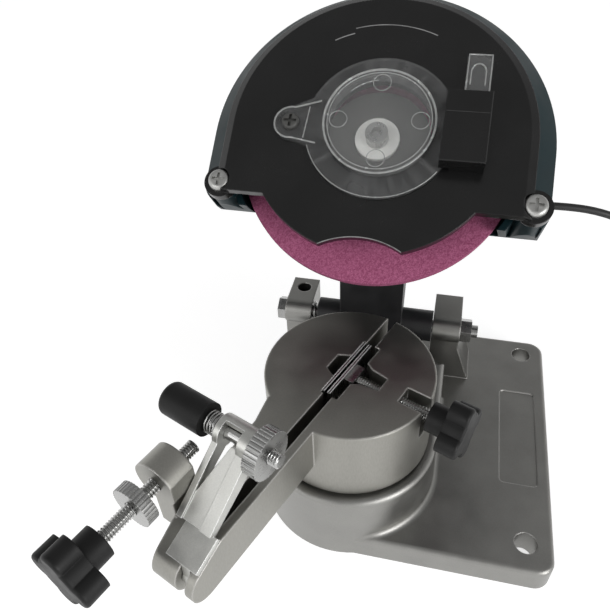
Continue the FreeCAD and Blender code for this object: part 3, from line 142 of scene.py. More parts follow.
side_angles = [360 * side / floor_sides for side in range(floor_sides)]
sheet_edge = arc_points((0, 0), floor_radius, floor_radius, side_angles, 0.0)
sheet_rim = arc_points((0, 0), rim_radius, rim_radius, side_angles, rim_height)
rim_panels = [(side, (side + 1) % floor_sides, floor_sides + (side + 1) % floor_sides, floor_sides + side)
              for side in range(floor_sides)]
floor_mesh = bpy.data.meshes.new("floor")
floor_mesh.from_pydata(sheet_edge + sheet_rim, [], [tuple(range(floor_sides))] + rim_panels)
floor = put("floor", floor_mesh)
floor_paper, paper_tree, paper = surface("floor paper")
rays = add(paper_tree, "ShaderNodeLightPath")
paper_seen = rays.outputs["Is Camera Ray"]
for ray_kind in ("Is Glossy Ray", "Is Transmission Ray"):
    paper_seen = maths(paper_tree, "MAXIMUM", paper_seen, rays.outputs[ray_kind])
feed(paper_tree, paper, {
    "Base Color": (paper_tone, paper_tone, paper_tone, 1),
    "Roughness": 0.9,
    "Specular IOR Level": 0.0,
    "Emission Color": (1, 1, 1, 1),
    "Emission Strength": maths(paper_tree, "MULTIPLY", paper_seen, paper_glow),
})
floor_mesh.materials.append(floor_paper)

# Light: one large soft box in front at the left and a smaller one at the right, in a dim even room.
# Metal mirrors the dim room above it, and the white paper below and around it.
room_level = 0.42
lit_spot = Vector((-0.08, 0.0, 0.08))
soft_boxes = {
    "key": {"place": Vector((-0.7, -0.9, 0.6)), "size": 0.7, "power": 3.0},
    "fill": {"place": Vector((0.85, -0.7, 0.4)), "size": 0.6, "power": 7.5},
}
world = bpy.data.worlds.new("room")
world.use_nodes = True
scene.world = world
feed(world.node_tree, world.node_tree.nodes["Background"], {"Color": (1, 1, 1, 1), "Strength": room_level})
for box_name, soft_box in soft_boxes.items():
    lamp = put(box_name, bpy.data.lights.new(box_name, "AREA"))
    lamp.data.size = soft_box["size"]
    lamp.data.energy = soft_box["power"]
    lamp.location = soft_box["place"]
    lamp.rotation_euler = (lit_spot - soft_box["place"]).to_track_quat("-Z", "Y").to_euler()

# Base: one aluminium casting with a satin, slightly grainy skin, cleaned by shot blasting.
# It is bolted to the bench through two holes, and carries everything else on its boss and ears.


def ramp(tree, value, low, dark, high, light):
    """Colours that go from dark to light as a value goes from low to high."""
    colours = add(tree, "ShaderNodeValToRGB", {"Fac": value})
    for number, (position, colour) in enumerate(((low, dark), (high, light))):
        colours.color_ramp.elements[number].position = position
        colours.color_ramp.elements[number].color = (*colour, 1)
    return colours.outputs["Color"]


def finish(name, dark, light, metallic, smooth, rough, patch_mm, grain_mm, relief_mm, edge_mm=0.0,
           streak=(1, 1, 1), edge_wear_and_glint=None, specular=0.5, transmission=0.0):
    """A surface whose tone and gloss drift in patches, with a fine grain and softened edges; a lighter tone
    on the edges is partly wear, partly painted highlight.
    """
    grain_share = 0.35
    material, tree, shader = surface(name)
    place = add(tree, "ShaderNodeTexCoord")
    stretch = add(tree, "ShaderNodeMapping", {"Vector": place.outputs["Object"], "Scale": streak}).outputs[0]
    patches = add(tree, "ShaderNodeTexNoise", {"Vector": stretch, "Scale": 1000 / patch_mm, "Detail": 4.0})
    grain = add(tree, "ShaderNodeTexNoise", {"Vector": stretch, "Scale": 1000 / grain_mm, "Detail": 2.0})
    broad = maths(tree, "MULTIPLY", patches.outputs["Fac"], 1 - grain_share)
    drift = maths(tree, "MULTIPLY_ADD", grain.outputs["Fac"], grain_share, broad)
    tone = ramp(tree, drift, 0.32, dark, 0.68, light)
    gloss = add(tree, "ShaderNodeMapRange", {
        "Value": patches.outputs["Fac"], "From Min": 0.3, "From Max": 0.7, "To Min": smooth, "To Max": rough})
    bump = add(tree, "ShaderNodeBump", {
        "Height": grain.outputs["Fac"], "Strength": 0.6, "Distance": relief_mm / 1000})
    if edge_mm > 0:
        edge = add(tree, "ShaderNodeBevel", {"Radius": edge_mm / 1000}, samples=4).outputs[0]
        feed(tree, bump, {"Normal": edge})
    # Lighter tone on the bevelled edges: partly rubbed wear, partly a painted highlight where the edges would
    # catch the light.
    if edge_mm > 0 and edge_wear_and_glint:
        face = add(tree, "ShaderNodeNewGeometry").outputs["Normal"]
        agree = add(tree, "ShaderNodeVectorMath", {0: edge, 1: face}, operation="DOT_PRODUCT")
        wear_and_glint_mask = add(tree, "ShaderNodeMapRange", {
            "Value": agree.outputs["Value"], "From Min": 0.98, "From Max": 0.80})
        mixed = {"Factor": wear_and_glint_mask.outputs[0], "A": tone, "B": (*edge_wear_and_glint, 1)}
        tone = add(tree, "ShaderNodeMix", mixed, data_type="RGBA").outputs["Result"]
    feed(tree, shader, {
        "Base Color": tone,
        "Metallic": metallic,
        "Roughness": gloss.outputs[0],
        "Normal": bump.outputs[0],
        "Specular IOR Level": specular,
        "Transmission Weight": transmission,
    })
    return material


def paint(mesh, material):
    """Leave a mesh with this one material."""
    mesh.materials.clear()
    mesh.materials.append(material)


def dress(material, *names):
    """Give nodes of the frame a material."""
    for name in names:
        paint(frame["nodes"][name].data, material)


# The lighter tone on its edges is partly wear, partly painted highlight.
cast_skin = finish(
    "cast aluminium", dark=(0.25, 0.247, 0.236), light=(0.32, 0.317, 0.302), metallic=1.0, smooth=0.32,
    rough=0.44, patch_mm=14, grain_mm=0.35, relief_mm=0.02, edge_mm=0.8, edge_wear_and_glint=(0.46, 0.455, 0.44))
dress(cast_skin, "base_casting")

# Hinge: a hexagon bolt and its nut hold the head between the two ears, so that it swings down to the chain.
# Both are steel, zinc plated.
plated = finish(
    "plated steel", dark=(0.32, 0.32, 0.314), light=(0.43, 0.43, 0.423), metallic=1.0, smooth=0.22,
    rough=0.34, patch_mm=5, grain_mm=0.3, relief_mm=0.003, edge_mm=0.25)
dress(plated, "hinge_bolt", "hinge_nut")

# Turntable: an aluminium casting, milled and brushed, with the chain slot along its arm. It swivels on the
# base's boss, where a plated stud and washer hold it from below.
swivel_at_rest = math.radians(-22.3)


def joint_place(name):
    """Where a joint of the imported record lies, in metres."""
    joints = frame["record"]["behaviour"]["joints"]
    return Vector(next(joint for joint in joints if joint["name"] == name)["pos_m"])


pivot = joint_place("vise_swivel")
pivot.z = 0.0
vise_place = Matrix.Translation(pivot) @ Matrix.Rotation(swivel_at_rest, 4, "Z")
# The lighter tone on its edges is partly wear, partly painted highlight.
brushed = finish(
    "brushed aluminium", dark=(0.29, 0.285, 0.262), light=(0.36, 0.353, 0.326), metallic=1.0, smooth=0.38,
    rough=0.5, patch_mm=16, grain_mm=0.5, relief_mm=0.008, edge_mm=1.0, streak=(1.0, 1.0, 0.25),
    edge_wear_and_glint=(0.54, 0.53, 0.51))
dress(brushed, "turntable")
dress(plated, "lock_stud", "lock_washer")

# Jaws: two ground steel strips in the slot, one fixed and one that slides across to grip the chain.
# Their top edges are honed bright, and each edge is drawn as a fine bead.
jaw_half_length = 14.9
jaw_edge_radius = 0.2
jaw_edge_sink = 0.05
jaw_edge_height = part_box("fixed_jaw")[1][2] * 1000 - jaw_edge_sink
jaw_edges = {
    "fixed_jaw_back": (-3.0, "turntable"),
    "fixed_jaw_front": (-2.0, "turntable"),
    "moving_jaw_front": (-0.5, "clamp_jaw"),
    "moving_jaw_back": (0.5, "clamp_jaw"),
}
ground = finish(
    "ground steel", dark=(0.34, 0.34, 0.33), light=(0.5, 0.5, 0.49), metallic=1.0, smooth=0.22, rough=0.34,
    patch_mm=6, grain_mm=0.25, relief_mm=0.01, edge_mm=0.2)
dress(ground, "fixed_jaw", "moving_jaw")
honed = finish(
    "honed edge", dark=(0.86, 0.86, 0.85), light=(0.96, 0.96, 0.95), metallic=1.0, smooth=0.2, rough=0.34,
    patch_mm=4, grain_mm=0.3, relief_mm=0.0)


def settled(thing):
    """A plain mesh of an object, as its bevel or modifiers leave it."""
    return bpy.data.meshes.new_from_object(thing.evaluated_get(bpy.context.evaluated_depsgraph_get()))


def fit(name, mesh, body):
    """Put a mesh in the scene as a piece that rides on a body."""
    piece = put(name, mesh)
    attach(piece, body)
    return piece


def bead_along(name, points, radius, place, material, body, finish_slot):
    """A round bead through points, in millimetres of the frame that place gives."""
    line = bpy.data.curves.new(name, "CURVE")
    line.dimensions = "3D"
    line.bevel_depth = radius / 1000
    line.bevel_resolution = 3
    line.use_fill_caps = True
    run = line.splines.new("POLY")
    run.points.add(len(points) - 1)
    for spot, point in zip(run.points, points):
        spot.co = (*(place @ (Vector(point) / 1000)), 1)
    seed = put(name + " line", line)
    mesh = settled(seed)
    bpy.data.objects.remove(seed)
    paint(mesh, material)
    return fit(name, mesh, body)


for edge_name, (across, jaw_body) in jaw_edges.items():
    ends = [(across, along, jaw_edge_height) for along in (-jaw_half_length, jaw_half_length)]
    bead_along(edge_name, ends, jaw_edge_radius, vise_place, honed, jaw_body, "steel")

# Screws: the clamp screw, the adjusting screw and the stop rod, each a steel bar in the vise or its lever.
# A helical groove is rolled into the plain bar, over its whole length or only at its end.
bar_radius = 2.5
thread_pitch = 1.0
thread_depth = 0.6
plain_tip = 0.5
clamp_middle = (21.6, 0.0, 68.0)
clamp_length = 40.8
adjust_middle = (-18.4, -89.25, 84.7)
adjust_length = 46.5
rod_middle = (-8.0, -59.0, 92.0)
rod_length = 41.0
rod_shank = 31.5
rolled = finish(
    "rolled thread", dark=(0.39, 0.39, 0.383), light=(0.49, 0.49, 0.483), metallic=1.0, smooth=0.16,
    rough=0.26, patch_mm=4, grain_mm=0.3, relief_mm=0.0)


def grown(name, build, sizes, place, material, body, finish_slot):
    """Make a piece with a tree of nodes, set it in place as a plain mesh and let it ride on a body."""
    tree = bpy.data.node_groups.new(name, "GeometryNodeTree")
    tree.interface.new_socket("Geometry", in_out="OUTPUT", socket_type="NodeSocketGeometry")
    for label in sizes:
        tree.interface.new_socket(label, in_out="INPUT", socket_type="NodeSocketFloat")
    shape = build(tree, add(tree, "NodeGroupInput").outputs)
    realized = add(tree, "GeometryNodeRealizeInstances", {0: shape}).outputs[0]
    coated = add(tree, "GeometryNodeSetMaterial", {"Geometry": realized, "Material": material}).outputs[0]
    add(tree, "NodeGroupOutput", {0: coated})
    seed = put(name + " seed", bpy.data.meshes.new(name + " seed"))
    growth = seed.modifiers.new("growth", "NODES")
    growth.node_group = tree
    for item in tree.interface.items_tree:
        if item.in_out == "INPUT":
            growth[item.identifier] = float(sizes[item.name])
    mesh = settled(seed)
    seed.modifiers.remove(growth)
    bpy.data.objects.remove(seed)
    mesh.transform(place)
    mesh.name = name
    return fit(name, mesh, body)


def thread_tree(tree, size):
    """A bar along Z with a helical groove from its thread's start to its top end."""
    bar_sides = 24
    rows_a_turn = 6.0
    rows = maths(tree, "MULTIPLY", maths(tree, "DIVIDE", size["Length"], size["Pitch"]), rows_a_turn)
    bar = add(tree, "GeometryNodeMeshCylinder", {
        "Vertices": bar_sides, "Side Segments": rows, "Radius": size["Radius"], "Depth": size["Length"]})
    where = add(tree, "GeometryNodeInputPosition").outputs[0]
    spot = add(tree, "ShaderNodeSeparateXYZ", {0: where}).outputs
    bearing = maths(tree, "ARCTAN2", spot["Y"], spot["X"])
    climb = maths(tree, "MULTIPLY", maths(tree, "DIVIDE", spot["Z"], size["Pitch"]), 2 * math.pi)
    wave = maths(tree, "ADD", maths(tree, "COSINE", maths(tree, "SUBTRACT", climb, bearing)), 1.0)
    groove = maths(tree, "MULTIPLY", wave, maths(tree, "MULTIPLY", size["Depth"], 0.5))
    start = maths(tree, "SUBTRACT", size["Thread start"], maths(tree, "MULTIPLY", size["Length"], 0.5))
    cut = maths(tree, "MULTIPLY", groove, maths(tree, "GREATER_THAN", spot["Z"], start))
    flat = add(tree, "ShaderNodeCombineXYZ", {"X": spot["X"], "Y": spot["Y"]}).outputs[0]
    outwards = add(tree, "ShaderNodeVectorMath", {0: flat}, operation="NORMALIZE").outputs[0]
    sunk = {0: outwards, "Scale": maths(tree, "MULTIPLY", cut, -1.0)}
    inwards = add(tree, "ShaderNodeVectorMath", sunk, operation="SCALE").outputs[0]
    moved = {"Geometry": bar.outputs["Mesh"], "Offset": inwards}
    return add(tree, "GeometryNodeSetPosition", moved).outputs[0]


def screw(name, node, middle, way, length, thread_start, body):
    """A threaded bar, given by its middle and direction in the vise's own frame, in millimetres."""
    aim = Vector(way).to_track_quat("Z", "Y").to_matrix().to_4x4()
    sizes = {"Radius": bar_radius / 1000, "Length": length / 1000, "Pitch": thread_pitch / 1000,
             "Depth": thread_depth / 1000, "Thread start": thread_start / 1000}
    spot = vise_place @ Matrix.Translation(Vector(middle) / 1000) @ aim
    piece = grown(name, thread_tree, sizes, spot, rolled, body, "steel")
    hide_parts(node)


screw("clamp_thread", "clamp_screw", clamp_middle, (1, 0, 0), clamp_length, plain_tip, "clamp_screw")
screw("adjusting_thread", "adjust_screw", adjust_middle, (0, -1, 0), adjust_length, plain_tip, "adjust_screw")
screw("stop_thread", "stop_rod", rod_middle, (1, 0, 0), rod_length, rod_shank, "stop_rod")

# Knurled nuts: one locks the adjusting screw and one turns on the stop rod.
# They are turned from steel with a straight knurl round the rim, and plated.
dress(plated, "adjust_lock_nut", "thumb_nut")

# Knobs and push grip: black nylon, moulded with a fine spark-eroded grain.
# They sit on the ends of the clamp screw, the adjusting screw, the lock stud and the stop rod.
nylon = finish(
    "black nylon", dark=(0.004, 0.004, 0.004), light=(0.008, 0.008, 0.008), metallic=0.0, smooth=0.44,
    rough=0.6, patch_mm=7, grain_mm=0.3, relief_mm=0.015, edge_mm=0.5, specular=0.28)
dress(nylon, "clamp_knob", "adjust_knob", "lock_knob", "stop_grip")

# Stop lever: a bright zinc die casting that flips up on its plated pin.
# It carries the stop rod in its two eyes.
# The near-white tone on its edges is partly wear, partly painted highlight.
zinc = finish(
    "die-cast zinc", dark=(0.48, 0.48, 0.46), light=(0.64, 0.64, 0.61), metallic=1.0, smooth=0.34,
    rough=0.5, patch_mm=7, grain_mm=0.4, relief_mm=0.02, edge_mm=0.4, edge_wear_and_glint=(0.86, 0.87, 0.86))
dress(zinc, "stop_lever")
dress(plated, "lever_pin")

# Springs: coils of bright drawn wire. The return spring sits round the hinge bolt. The stop spring sits
# behind the push grip.
merge_distance = 1e-6
wire = finish(
    "spring wire", dark=(0.38, 0.38, 0.373), light=(0.49, 0.49, 0.483), metallic=1.0, smooth=0.15,
    rough=0.28, patch_mm=3, grain_mm=0.2, relief_mm=0.005)
dress(wire, "return_spring")
coil_mesh = frame["nodes"]["stop_spring"].data.copy()
coil_shape = bmesh.new()
coil_shape.from_mesh(coil_mesh)
bmesh.ops.remove_doubles(coil_shape, verts=coil_shape.verts, dist=merge_distance)
coil_shape.to_mesh(coil_mesh)
coil_shape.free()
coil_mesh.shade_smooth()
paint(coil_mesh, wire)
stop_coil = fit("stop_coil", coil_mesh, "lever")
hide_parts("stop_spring")
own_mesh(stop_coil)

# Head bracket: a casting with an arm and a hinge barrel, under satin black paint.
# The hinge bolt goes through its barrel, and the motor is screwed to its arm.
black_paint = finish(
    "black paint", dark=(0.008, 0.008, 0.009), light=(0.016, 0.016, 0.017), metallic=0.0, smooth=0.4,
    rough=0.55, patch_mm=9, grain_mm=0.4, relief_mm=0.02, edge_mm=0.6)
dress(black_paint, "head_bracket")

# Shells: wheel housing, motor tube, end cap and handle, moulded in dark teal plastic with a fine matt
# texture. Plated screws hold them together and to the bracket.
teal = finish(
    "dark teal plastic", dark=(0.004, 0.014, 0.017), light=(0.007, 0.022, 0.026), metallic=0.0, smooth=0.36,
    rough=0.5, patch_mm=18, grain_mm=0.35, relief_mm=0.015, edge_mm=0.8, specular=0.15)
dress(teal, "wheel_housing", "motor_housing", "motor_end_cap", "handle")
dress(plated, "bracket_screws", "housing_screws", "end_cap_screws", "handle_screws")

# Front cover, latch block and switch: moulded in black plastic with more gloss than the shells.
# Two matt plated screws hold the cover, and fine lines follow its shoulder, its chin and the latch's edges.
head_tilt = math.radians(36.5)
cover_front = 19.5
shoulder_radius = 54.2
shoulder_height = cover_front - 0.4
shoulder_foot_right = -26.0
shoulder_foot_left = -18.0
shoulder_bead = 0.35
chin_radius = 47.7
chin_half = 15.0
chin_arch = 41.3
chin_bead = 0.22
latch_left = 24.3
latch_right = 39.4
latch_top = 13.2
latch_bottom = -13.4
latch_step = 5.0
latch_front = 27.85
latch_edge_bead = 0.25
latch_step_bead = 0.2
latch_step_end = latch_right - 0.2
latch_step_height = latch_front + 0.1
head_place = Matrix.Translation(joint_place("wheel_spin")) @ Matrix.Rotation(head_tilt, 4, "X")
black_gloss = finish(
    "black cover plastic", dark=(0.005, 0.005, 0.005), light=(0.009, 0.009, 0.009), metallic=0.0,
    smooth=0.18, rough=0.3, patch_mm=22, grain_mm=0.5, relief_mm=0.004, edge_mm=0.6, specular=0.4)
dress(black_gloss, "wheel_cover", "latch_block", "switch_body", "switch_rocker")
matt_plated = finish(
    "matt plated steel", dark=(0.38, 0.38, 0.367), light=(0.50, 0.50, 0.486), metallic=1.0, smooth=0.36,
    rough=0.48, patch_mm=3, grain_mm=0.3, relief_mm=0.004, edge_mm=0.25)
dress(matt_plated, "cover_screws")
sharp_edge = finish(
    "polished black edge", dark=(0.012, 0.012, 0.012), light=(0.03, 0.03, 0.03), metallic=0.0, smooth=0.05,
    rough=0.12, patch_mm=6, grain_mm=0.4, relief_mm=0.0)
# The turning marks and the chin lip are drawn in a lighter grey than the cover: a painted highlight along
# them.
glint_painted_edge = finish(
    "black edge with painted highlight", dark=(0.16, 0.16, 0.16), light=(0.34, 0.34, 0.34), metallic=0.0, smooth=0.1,
    rough=0.25, patch_mm=5, grain_mm=0.4, relief_mm=0.0)
on_edge = {"place": head_place, "material": sharp_edge, "body": "head", "finish_slot": "black_cover"}
on_cover = {"material": glint_painted_edge, "body": "head", "finish_slot": "black_cover"}


def ring(tree, radius, sides):
    """A circle in the XY plane of a tree."""
    sizes = {"Resolution": sides, "Radius": radius}
    return add(tree, "GeometryNodeCurvePrimitiveCircle", sizes).outputs["Curve"]


def swept(tree, line, bead, sides, capped=False):
    """A round bead along a line of a tree."""
    return add(tree, "GeometryNodeCurveToMesh", {
        "Curve": line, "Profile Curve": ring(tree, bead, sides), "Fill Caps": capped}).outputs[0]


def arc_tree(tree, size):
    """A round bead along an arc in the XY plane."""
    sizes = {"Resolution": 64, "Radius": size["Radius"], "Start Angle": size["Start"],
             "Sweep Angle": size["Sweep"]}
    arc = add(tree, "GeometryNodeCurveArc", sizes, mode="RADIUS")
    return swept(tree, arc.outputs["Curve"], size["Bead"], 10, capped=True)


def arc_bead(name, centre, radius, start, sweep, bead, material, body, finish_slot):
    """A bead on an arc about a point of the head, in millimetres and degrees."""
    sizes = {"Radius": radius / 1000, "Start": math.radians(start), "Sweep": math.radians(sweep),
             "Bead": bead / 1000}
    spot = head_place @ Matrix.Translation(Vector(centre) / 1000)
    grown(name, arc_tree, sizes, spot, material, body, finish_slot)


shoulder_line = [
    (shoulder_radius, shoulder_foot_right, shoulder_height),
    *arc_points((0, 0), shoulder_radius, shoulder_radius, range(0, 181, 3), shoulder_height),
    (-shoulder_radius, shoulder_foot_left, shoulder_height),
]
bead_along("cover_shoulder", shoulder_line, shoulder_bead, **on_edge)
arc_bead("turning_mark_long", (0, 0, cover_front - 0.1), radius=43.4, start=66, sweep=42, bead=0.22,
         **on_cover)
arc_bead("turning_mark_short", (0, 0, cover_front - 0.15), radius=41.4, start=109, sweep=11, bead=0.28,
         **on_cover)
arch_rise = math.sqrt(chin_radius ** 2 - chin_half ** 2) - chin_arch
arch_radius = (chin_half ** 2 + arch_rise ** 2) / (2 * arch_rise)
arch_spread = math.degrees(math.asin(chin_half / arch_radius))
arc_bead("chin_lip", (0, -chin_arch - arch_radius, cover_front - 0.1), arch_radius, 90 - arch_spread,
         2 * arch_spread, chin_bead, **on_cover)
latch_edge = [(latch_right, latch_top, latch_front), (latch_right, latch_bottom, latch_front)]
bead_along("latch_edge", latch_edge, latch_edge_bead, **on_edge)
step_line = [(latch_left, latch_step, latch_step_height), (latch_step_end, latch_step, latch_step_height)]
bead_along("latch_step_line", step_line, latch_step_bead, **on_edge)

# Grinding disc: pink corundum grains in a hard bond, pressed and fired into a thin wheel.
# It is coarse and dull all over, and sits on the motor's shaft between two flanges.
grain_size = 0.0004
speck_size = 0.0012
grain_relief = 0.00025
deep_pink = (0.32, 0.068, 0.155)
pale_pink = (0.55, 0.165, 0.305)
abrasive, grit_tree, grit = surface("pink corundum")
grit_place = add(grit_tree, "ShaderNodeTexCoord").outputs["Object"]
grains = add(grit_tree, "ShaderNodeTexVoronoi", {"Vector": grit_place, "Scale": 1 / grain_size})
grain_shade = add(grit_tree, "ShaderNodeRGBToBW", {0: grains.outputs["Color"]}).outputs[0]
specks = add(grit_tree, "ShaderNodeTexNoise", {"Vector": grit_place, "Scale": 1 / speck_size, "Detail": 6.0})
half_specks = maths(grit_tree, "MULTIPLY", specks.outputs["Fac"], 0.5)
grit_mix = maths(grit_tree, "MULTIPLY_ADD", grain_shade, 0.5, half_specks)
grit_gloss = add(grit_tree, "ShaderNodeMapRange", {
    "Value": specks.outputs["Fac"], "To Min": 0.75, "To Max": 1.0})
grit_bump = add(grit_tree, "ShaderNodeBump", {"Height": grit_mix, "Strength": 0.9, "Distance": grain_relief})
feed(grit_tree, grit, {
    "Base Color": ramp(grit_tree, grit_mix, 0.3, deep_pink, 0.72, pale_pink),
    "Metallic": 0.0,
    "Roughness": grit_gloss.outputs[0],
    "Normal": grit_bump.outputs[0],
    "Specular IOR Level": 0.25,
})
dress(abrasive, "grinding_wheel")

# Flanges, washer and socket screw that clamp the disc on its shaft, seen through the window.
# The flanges are dull grey steel and the screw is plated. The washer is painted pale, a painted sheen in
# place of the shine it would catch.
dull_steel = finish(
    "dull grey steel", dark=(0.055, 0.055, 0.052), light=(0.085, 0.085, 0.08), metallic=0.0, smooth=0.5,
    rough=0.65, patch_mm=12, grain_mm=0.4, relief_mm=0.01, edge_mm=0.3)
dress(dull_steel, "inner_flange", "outer_flange")
# Pale, nearly non-metallic tone: a painted sheen on the washer.
painted_sheen_washer = finish(
    "washer steel with painted sheen", dark=(0.80, 0.80, 0.77), light=(0.92, 0.92, 0.89), metallic=0.2, smooth=0.45,
    rough=0.6, patch_mm=4, grain_mm=0.3, relief_mm=0.01, edge_mm=0.3)
dress(painted_sheen_washer, "wheel_washer")
dress(plated, "wheel_screw")

# Hub window and latch tongue: clear moulded plastic, thick at the rims and a little scuffed. The window
# swings on a dull steel pin, and the tongue slides in the latch block. Fine pale beads draw their rims and
# the marks that the mould leaves, and their pale tone is a painted highlight along those rims and marks.
scuff_size = 0.004
window_x = 1.2
window_y = 0.8
cup_front = 25.8
whole_turn = 359.9
mark_count = 4
mark_spread = 14.7
mark_radius = 3.2
mark_bead = 0.16
mark_turn = math.radians(3)
tab_x = -32.0
tab_radius = 6.2
tab_root = -21.5
tab_root_top = 9.4
tab_root_bottom = -7.6
tab_height = 21.1
tab_bead = 0.34
tab_wall_top = (-25.6, 6.6)
tab_wall_bottom = (-26.4, -5.8)
tab_wall_bead = 0.28
tongue_left = 29.9
tongue_right = 38.2
tongue_bottom = 14.5
tongue_top = 31.0
tongue_height = 21.9
tongue_bead = 0.32
arch_x = 33.85
arch_y = 24.0
arch_half_width = 2.6
arch_crown = 3.4
arch_foot = 19.0
arch_bead = 0.3
clear, clear_tree, glaze = surface("clear plastic")
clear_place = add(clear_tree, "ShaderNodeTexCoord").outputs["Object"]
scuffs = add(clear_tree, "ShaderNodeTexNoise", {
    "Vector": clear_place, "Scale": 1 / scuff_size, "Detail": 5.0})
scuff_gloss = add(clear_tree, "ShaderNodeMapRange", {
    "Value": scuffs.outputs["Fac"], "To Min": 0.0, "To Max": 0.04})
feed(clear_tree, glaze, {
    "Base Color": (0.93, 0.94, 0.94, 1),
    "Roughness": scuff_gloss.outputs[0],
    "Transmission Weight": 0.78,
    "IOR": 1.03,
    "Coat Weight": 0.5,
    "Coat Roughness": 0.05,
    "Alpha": 0.28,
})
dress(clear, "hub_window", "latch_tongue")
dress(dull_steel, "window_pin")
# Pale, half-clear edge beads: a painted highlight along the rims and mould marks.
painted_highlight_clear_edge = finish(
    "clear edge with painted highlight", dark=(0.55, 0.56, 0.55), light=(0.8, 0.81, 0.8), metallic=0.0, smooth=0.15,
    rough=0.3, patch_mm=3, grain_mm=0.3, relief_mm=0.005, transmission=0.6)
on_window = {"material": painted_highlight_clear_edge, "body": "window", "finish_slot": "clear_plastic"}
on_tongue = {"material": painted_highlight_clear_edge, "body": "latch", "finish_slot": "clear_plastic"}


def window_spot(height):
    """The middle of the window at a height above the disc, in millimetres of the head."""
    return Vector((window_x, window_y, height))


def marks_tree(tree, size):
    """A ring of small round ejector marks, each a thin raised circle."""
    circle = {"Vertices": mark_count, "Radius": size["Spread"]}
    spots = add(tree, "GeometryNodeMeshCircle", circle).outputs["Mesh"]
    mark = swept(tree, ring(tree, size["Radius"], 40), size["Bead"], 8)
    return add(tree, "GeometryNodeInstanceOnPoints", {"Points": spots, "Instance": mark}).outputs[0]


arc_bead("moulding_line", window_spot(cup_front), radius=15.6, start=98, sweep=40, bead=0.15, **on_window)
arc_bead("window_rim", window_spot(cup_front - 0.4), radius=20.1, start=0, sweep=whole_turn, bead=0.4,
         **on_window)
arc_bead("window_rim_inner", window_spot(cup_front - 0.1), radius=18.7, start=0, sweep=whole_turn, bead=0.2,
         **on_window)
arc_bead("flange_edge", window_spot(cover_front + 1.4), radius=27.4, start=200, sweep=125, bead=0.2,
         **on_window)
mark_sizes = {"Spread": mark_spread / 1000, "Radius": mark_radius / 1000, "Bead": mark_bead / 1000}
mark_place = (head_place @ Matrix.Translation(window_spot(cup_front) / 1000)
              @ Matrix.Rotation(mark_turn, 4, "Z"))
grown("ejector_marks", marks_tree, mark_sizes, mark_place, **on_window)
tab_rim = [
    (tab_root, tab_root_top, tab_height),
    *arc_points((tab_x, 0), tab_radius, tab_radius, range(80, 281, 10), tab_height),
    (tab_root, tab_root_bottom, tab_height),
]
bead_along("tab_rim", tab_rim, tab_bead, head_place, **on_window)
tab_wall = [(*tab_wall_top, tab_height), (*tab_wall_bottom, tab_height)]
bead_along("tab_wall", tab_wall, tab_wall_bead, head_place, **on_window)
tongue_arch = [
    (arch_x + arch_half_width, arch_foot, tongue_height),
    *arc_points((arch_x, arch_y), arch_half_width, arch_crown, range(0, 181, 12), tongue_height),
    (arch_x - arch_half_width, arch_foot, tongue_height),
]
bead_along("tongue_arch", tongue_arch, arch_bead, head_place, **on_tongue)
tongue_edge = [
    (tongue_left, tongue_bottom, tongue_height),
    (tongue_left, tongue_top, tongue_height),
    (tongue_right, tongue_top, tongue_height),
    (tongue_right, tongue_bottom, tongue_height),
]
bead_along("tongue_edge", tongue_edge, tongue_bead, head_place, **on_tongue)

# Motor inside the shells: a ground shaft in two bearings, with a core and a stator of stacked iron sheet,
# a copper commutator, carbon brushes in brass holders, and a moulded fan.
laminated = finish(
    "laminated iron", dark=(0.10, 0.10, 0.10), light=(0.18, 0.18, 0.18), metallic=1.0, smooth=0.4,
    rough=0.6, patch_mm=6, grain_mm=0.5, relief_mm=0.03, streak=(1, 6, 6))
copper = finish(
    "copper and brass", dark=(0.45, 0.26, 0.13), light=(0.62, 0.40, 0.22), metallic=1.0, smooth=0.25,
    rough=0.4, patch_mm=5, grain_mm=0.4, relief_mm=0.01)
carbon = finish(
    "carbon", dark=(0.012, 0.012, 0.013), light=(0.03, 0.03, 0.032), metallic=0.0, smooth=0.5, rough=0.7,
    patch_mm=3, grain_mm=0.3, relief_mm=0.02)
fan_plastic = finish(
    "fan plastic", dark=(0.04, 0.04, 0.04), light=(0.07, 0.07, 0.07), metallic=0.0, smooth=0.4, rough=0.6,
    patch_mm=6, grain_mm=0.4, relief_mm=0.02)
dress(ground, "motor_shaft", "front_bearing", "rear_bearing")
dress(laminated, "armature_core", "stator")
dress(copper, "commutator", "brush_holders")
dress(carbon, "carbon_brushes")
dress(fan_plastic, "cooling_fan")

# Strain relief, plug and tie of the cord: the relief and the plug are moulded in the same soft black plastic
# as the cord's cover. The relief tapers, has round ribs and sits in the end cap. The plug's pins are plated,
# and the tie round the coil is a harder strap.
relief_root = Vector((32.0, 8.0, -62.0))
relief_end = Vector((46.0, 8.0, -62.0))
rib_count = 6
rib_step = 2.3
rib_radius = 4.1
rib_bead = 0.7
rib_taper = 0.055
soft_cover = finish(
    "black cord cover", dark=(0.010, 0.010, 0.010), light=(0.020, 0.020, 0.020), metallic=0.0, smooth=0.42,
    rough=0.58, patch_mm=8, grain_mm=0.4, relief_mm=0.01)
dress(soft_cover, "strain_relief", "plug_body")
dress(plated, "plug_pins")
strap = finish(
    "strap plastic", dark=(0.016, 0.016, 0.016), light=(0.03, 0.03, 0.03), metallic=0.0, smooth=0.4,
    rough=0.55, patch_mm=5, grain_mm=0.3, relief_mm=0.02)
dress(strap, "cord_tie")


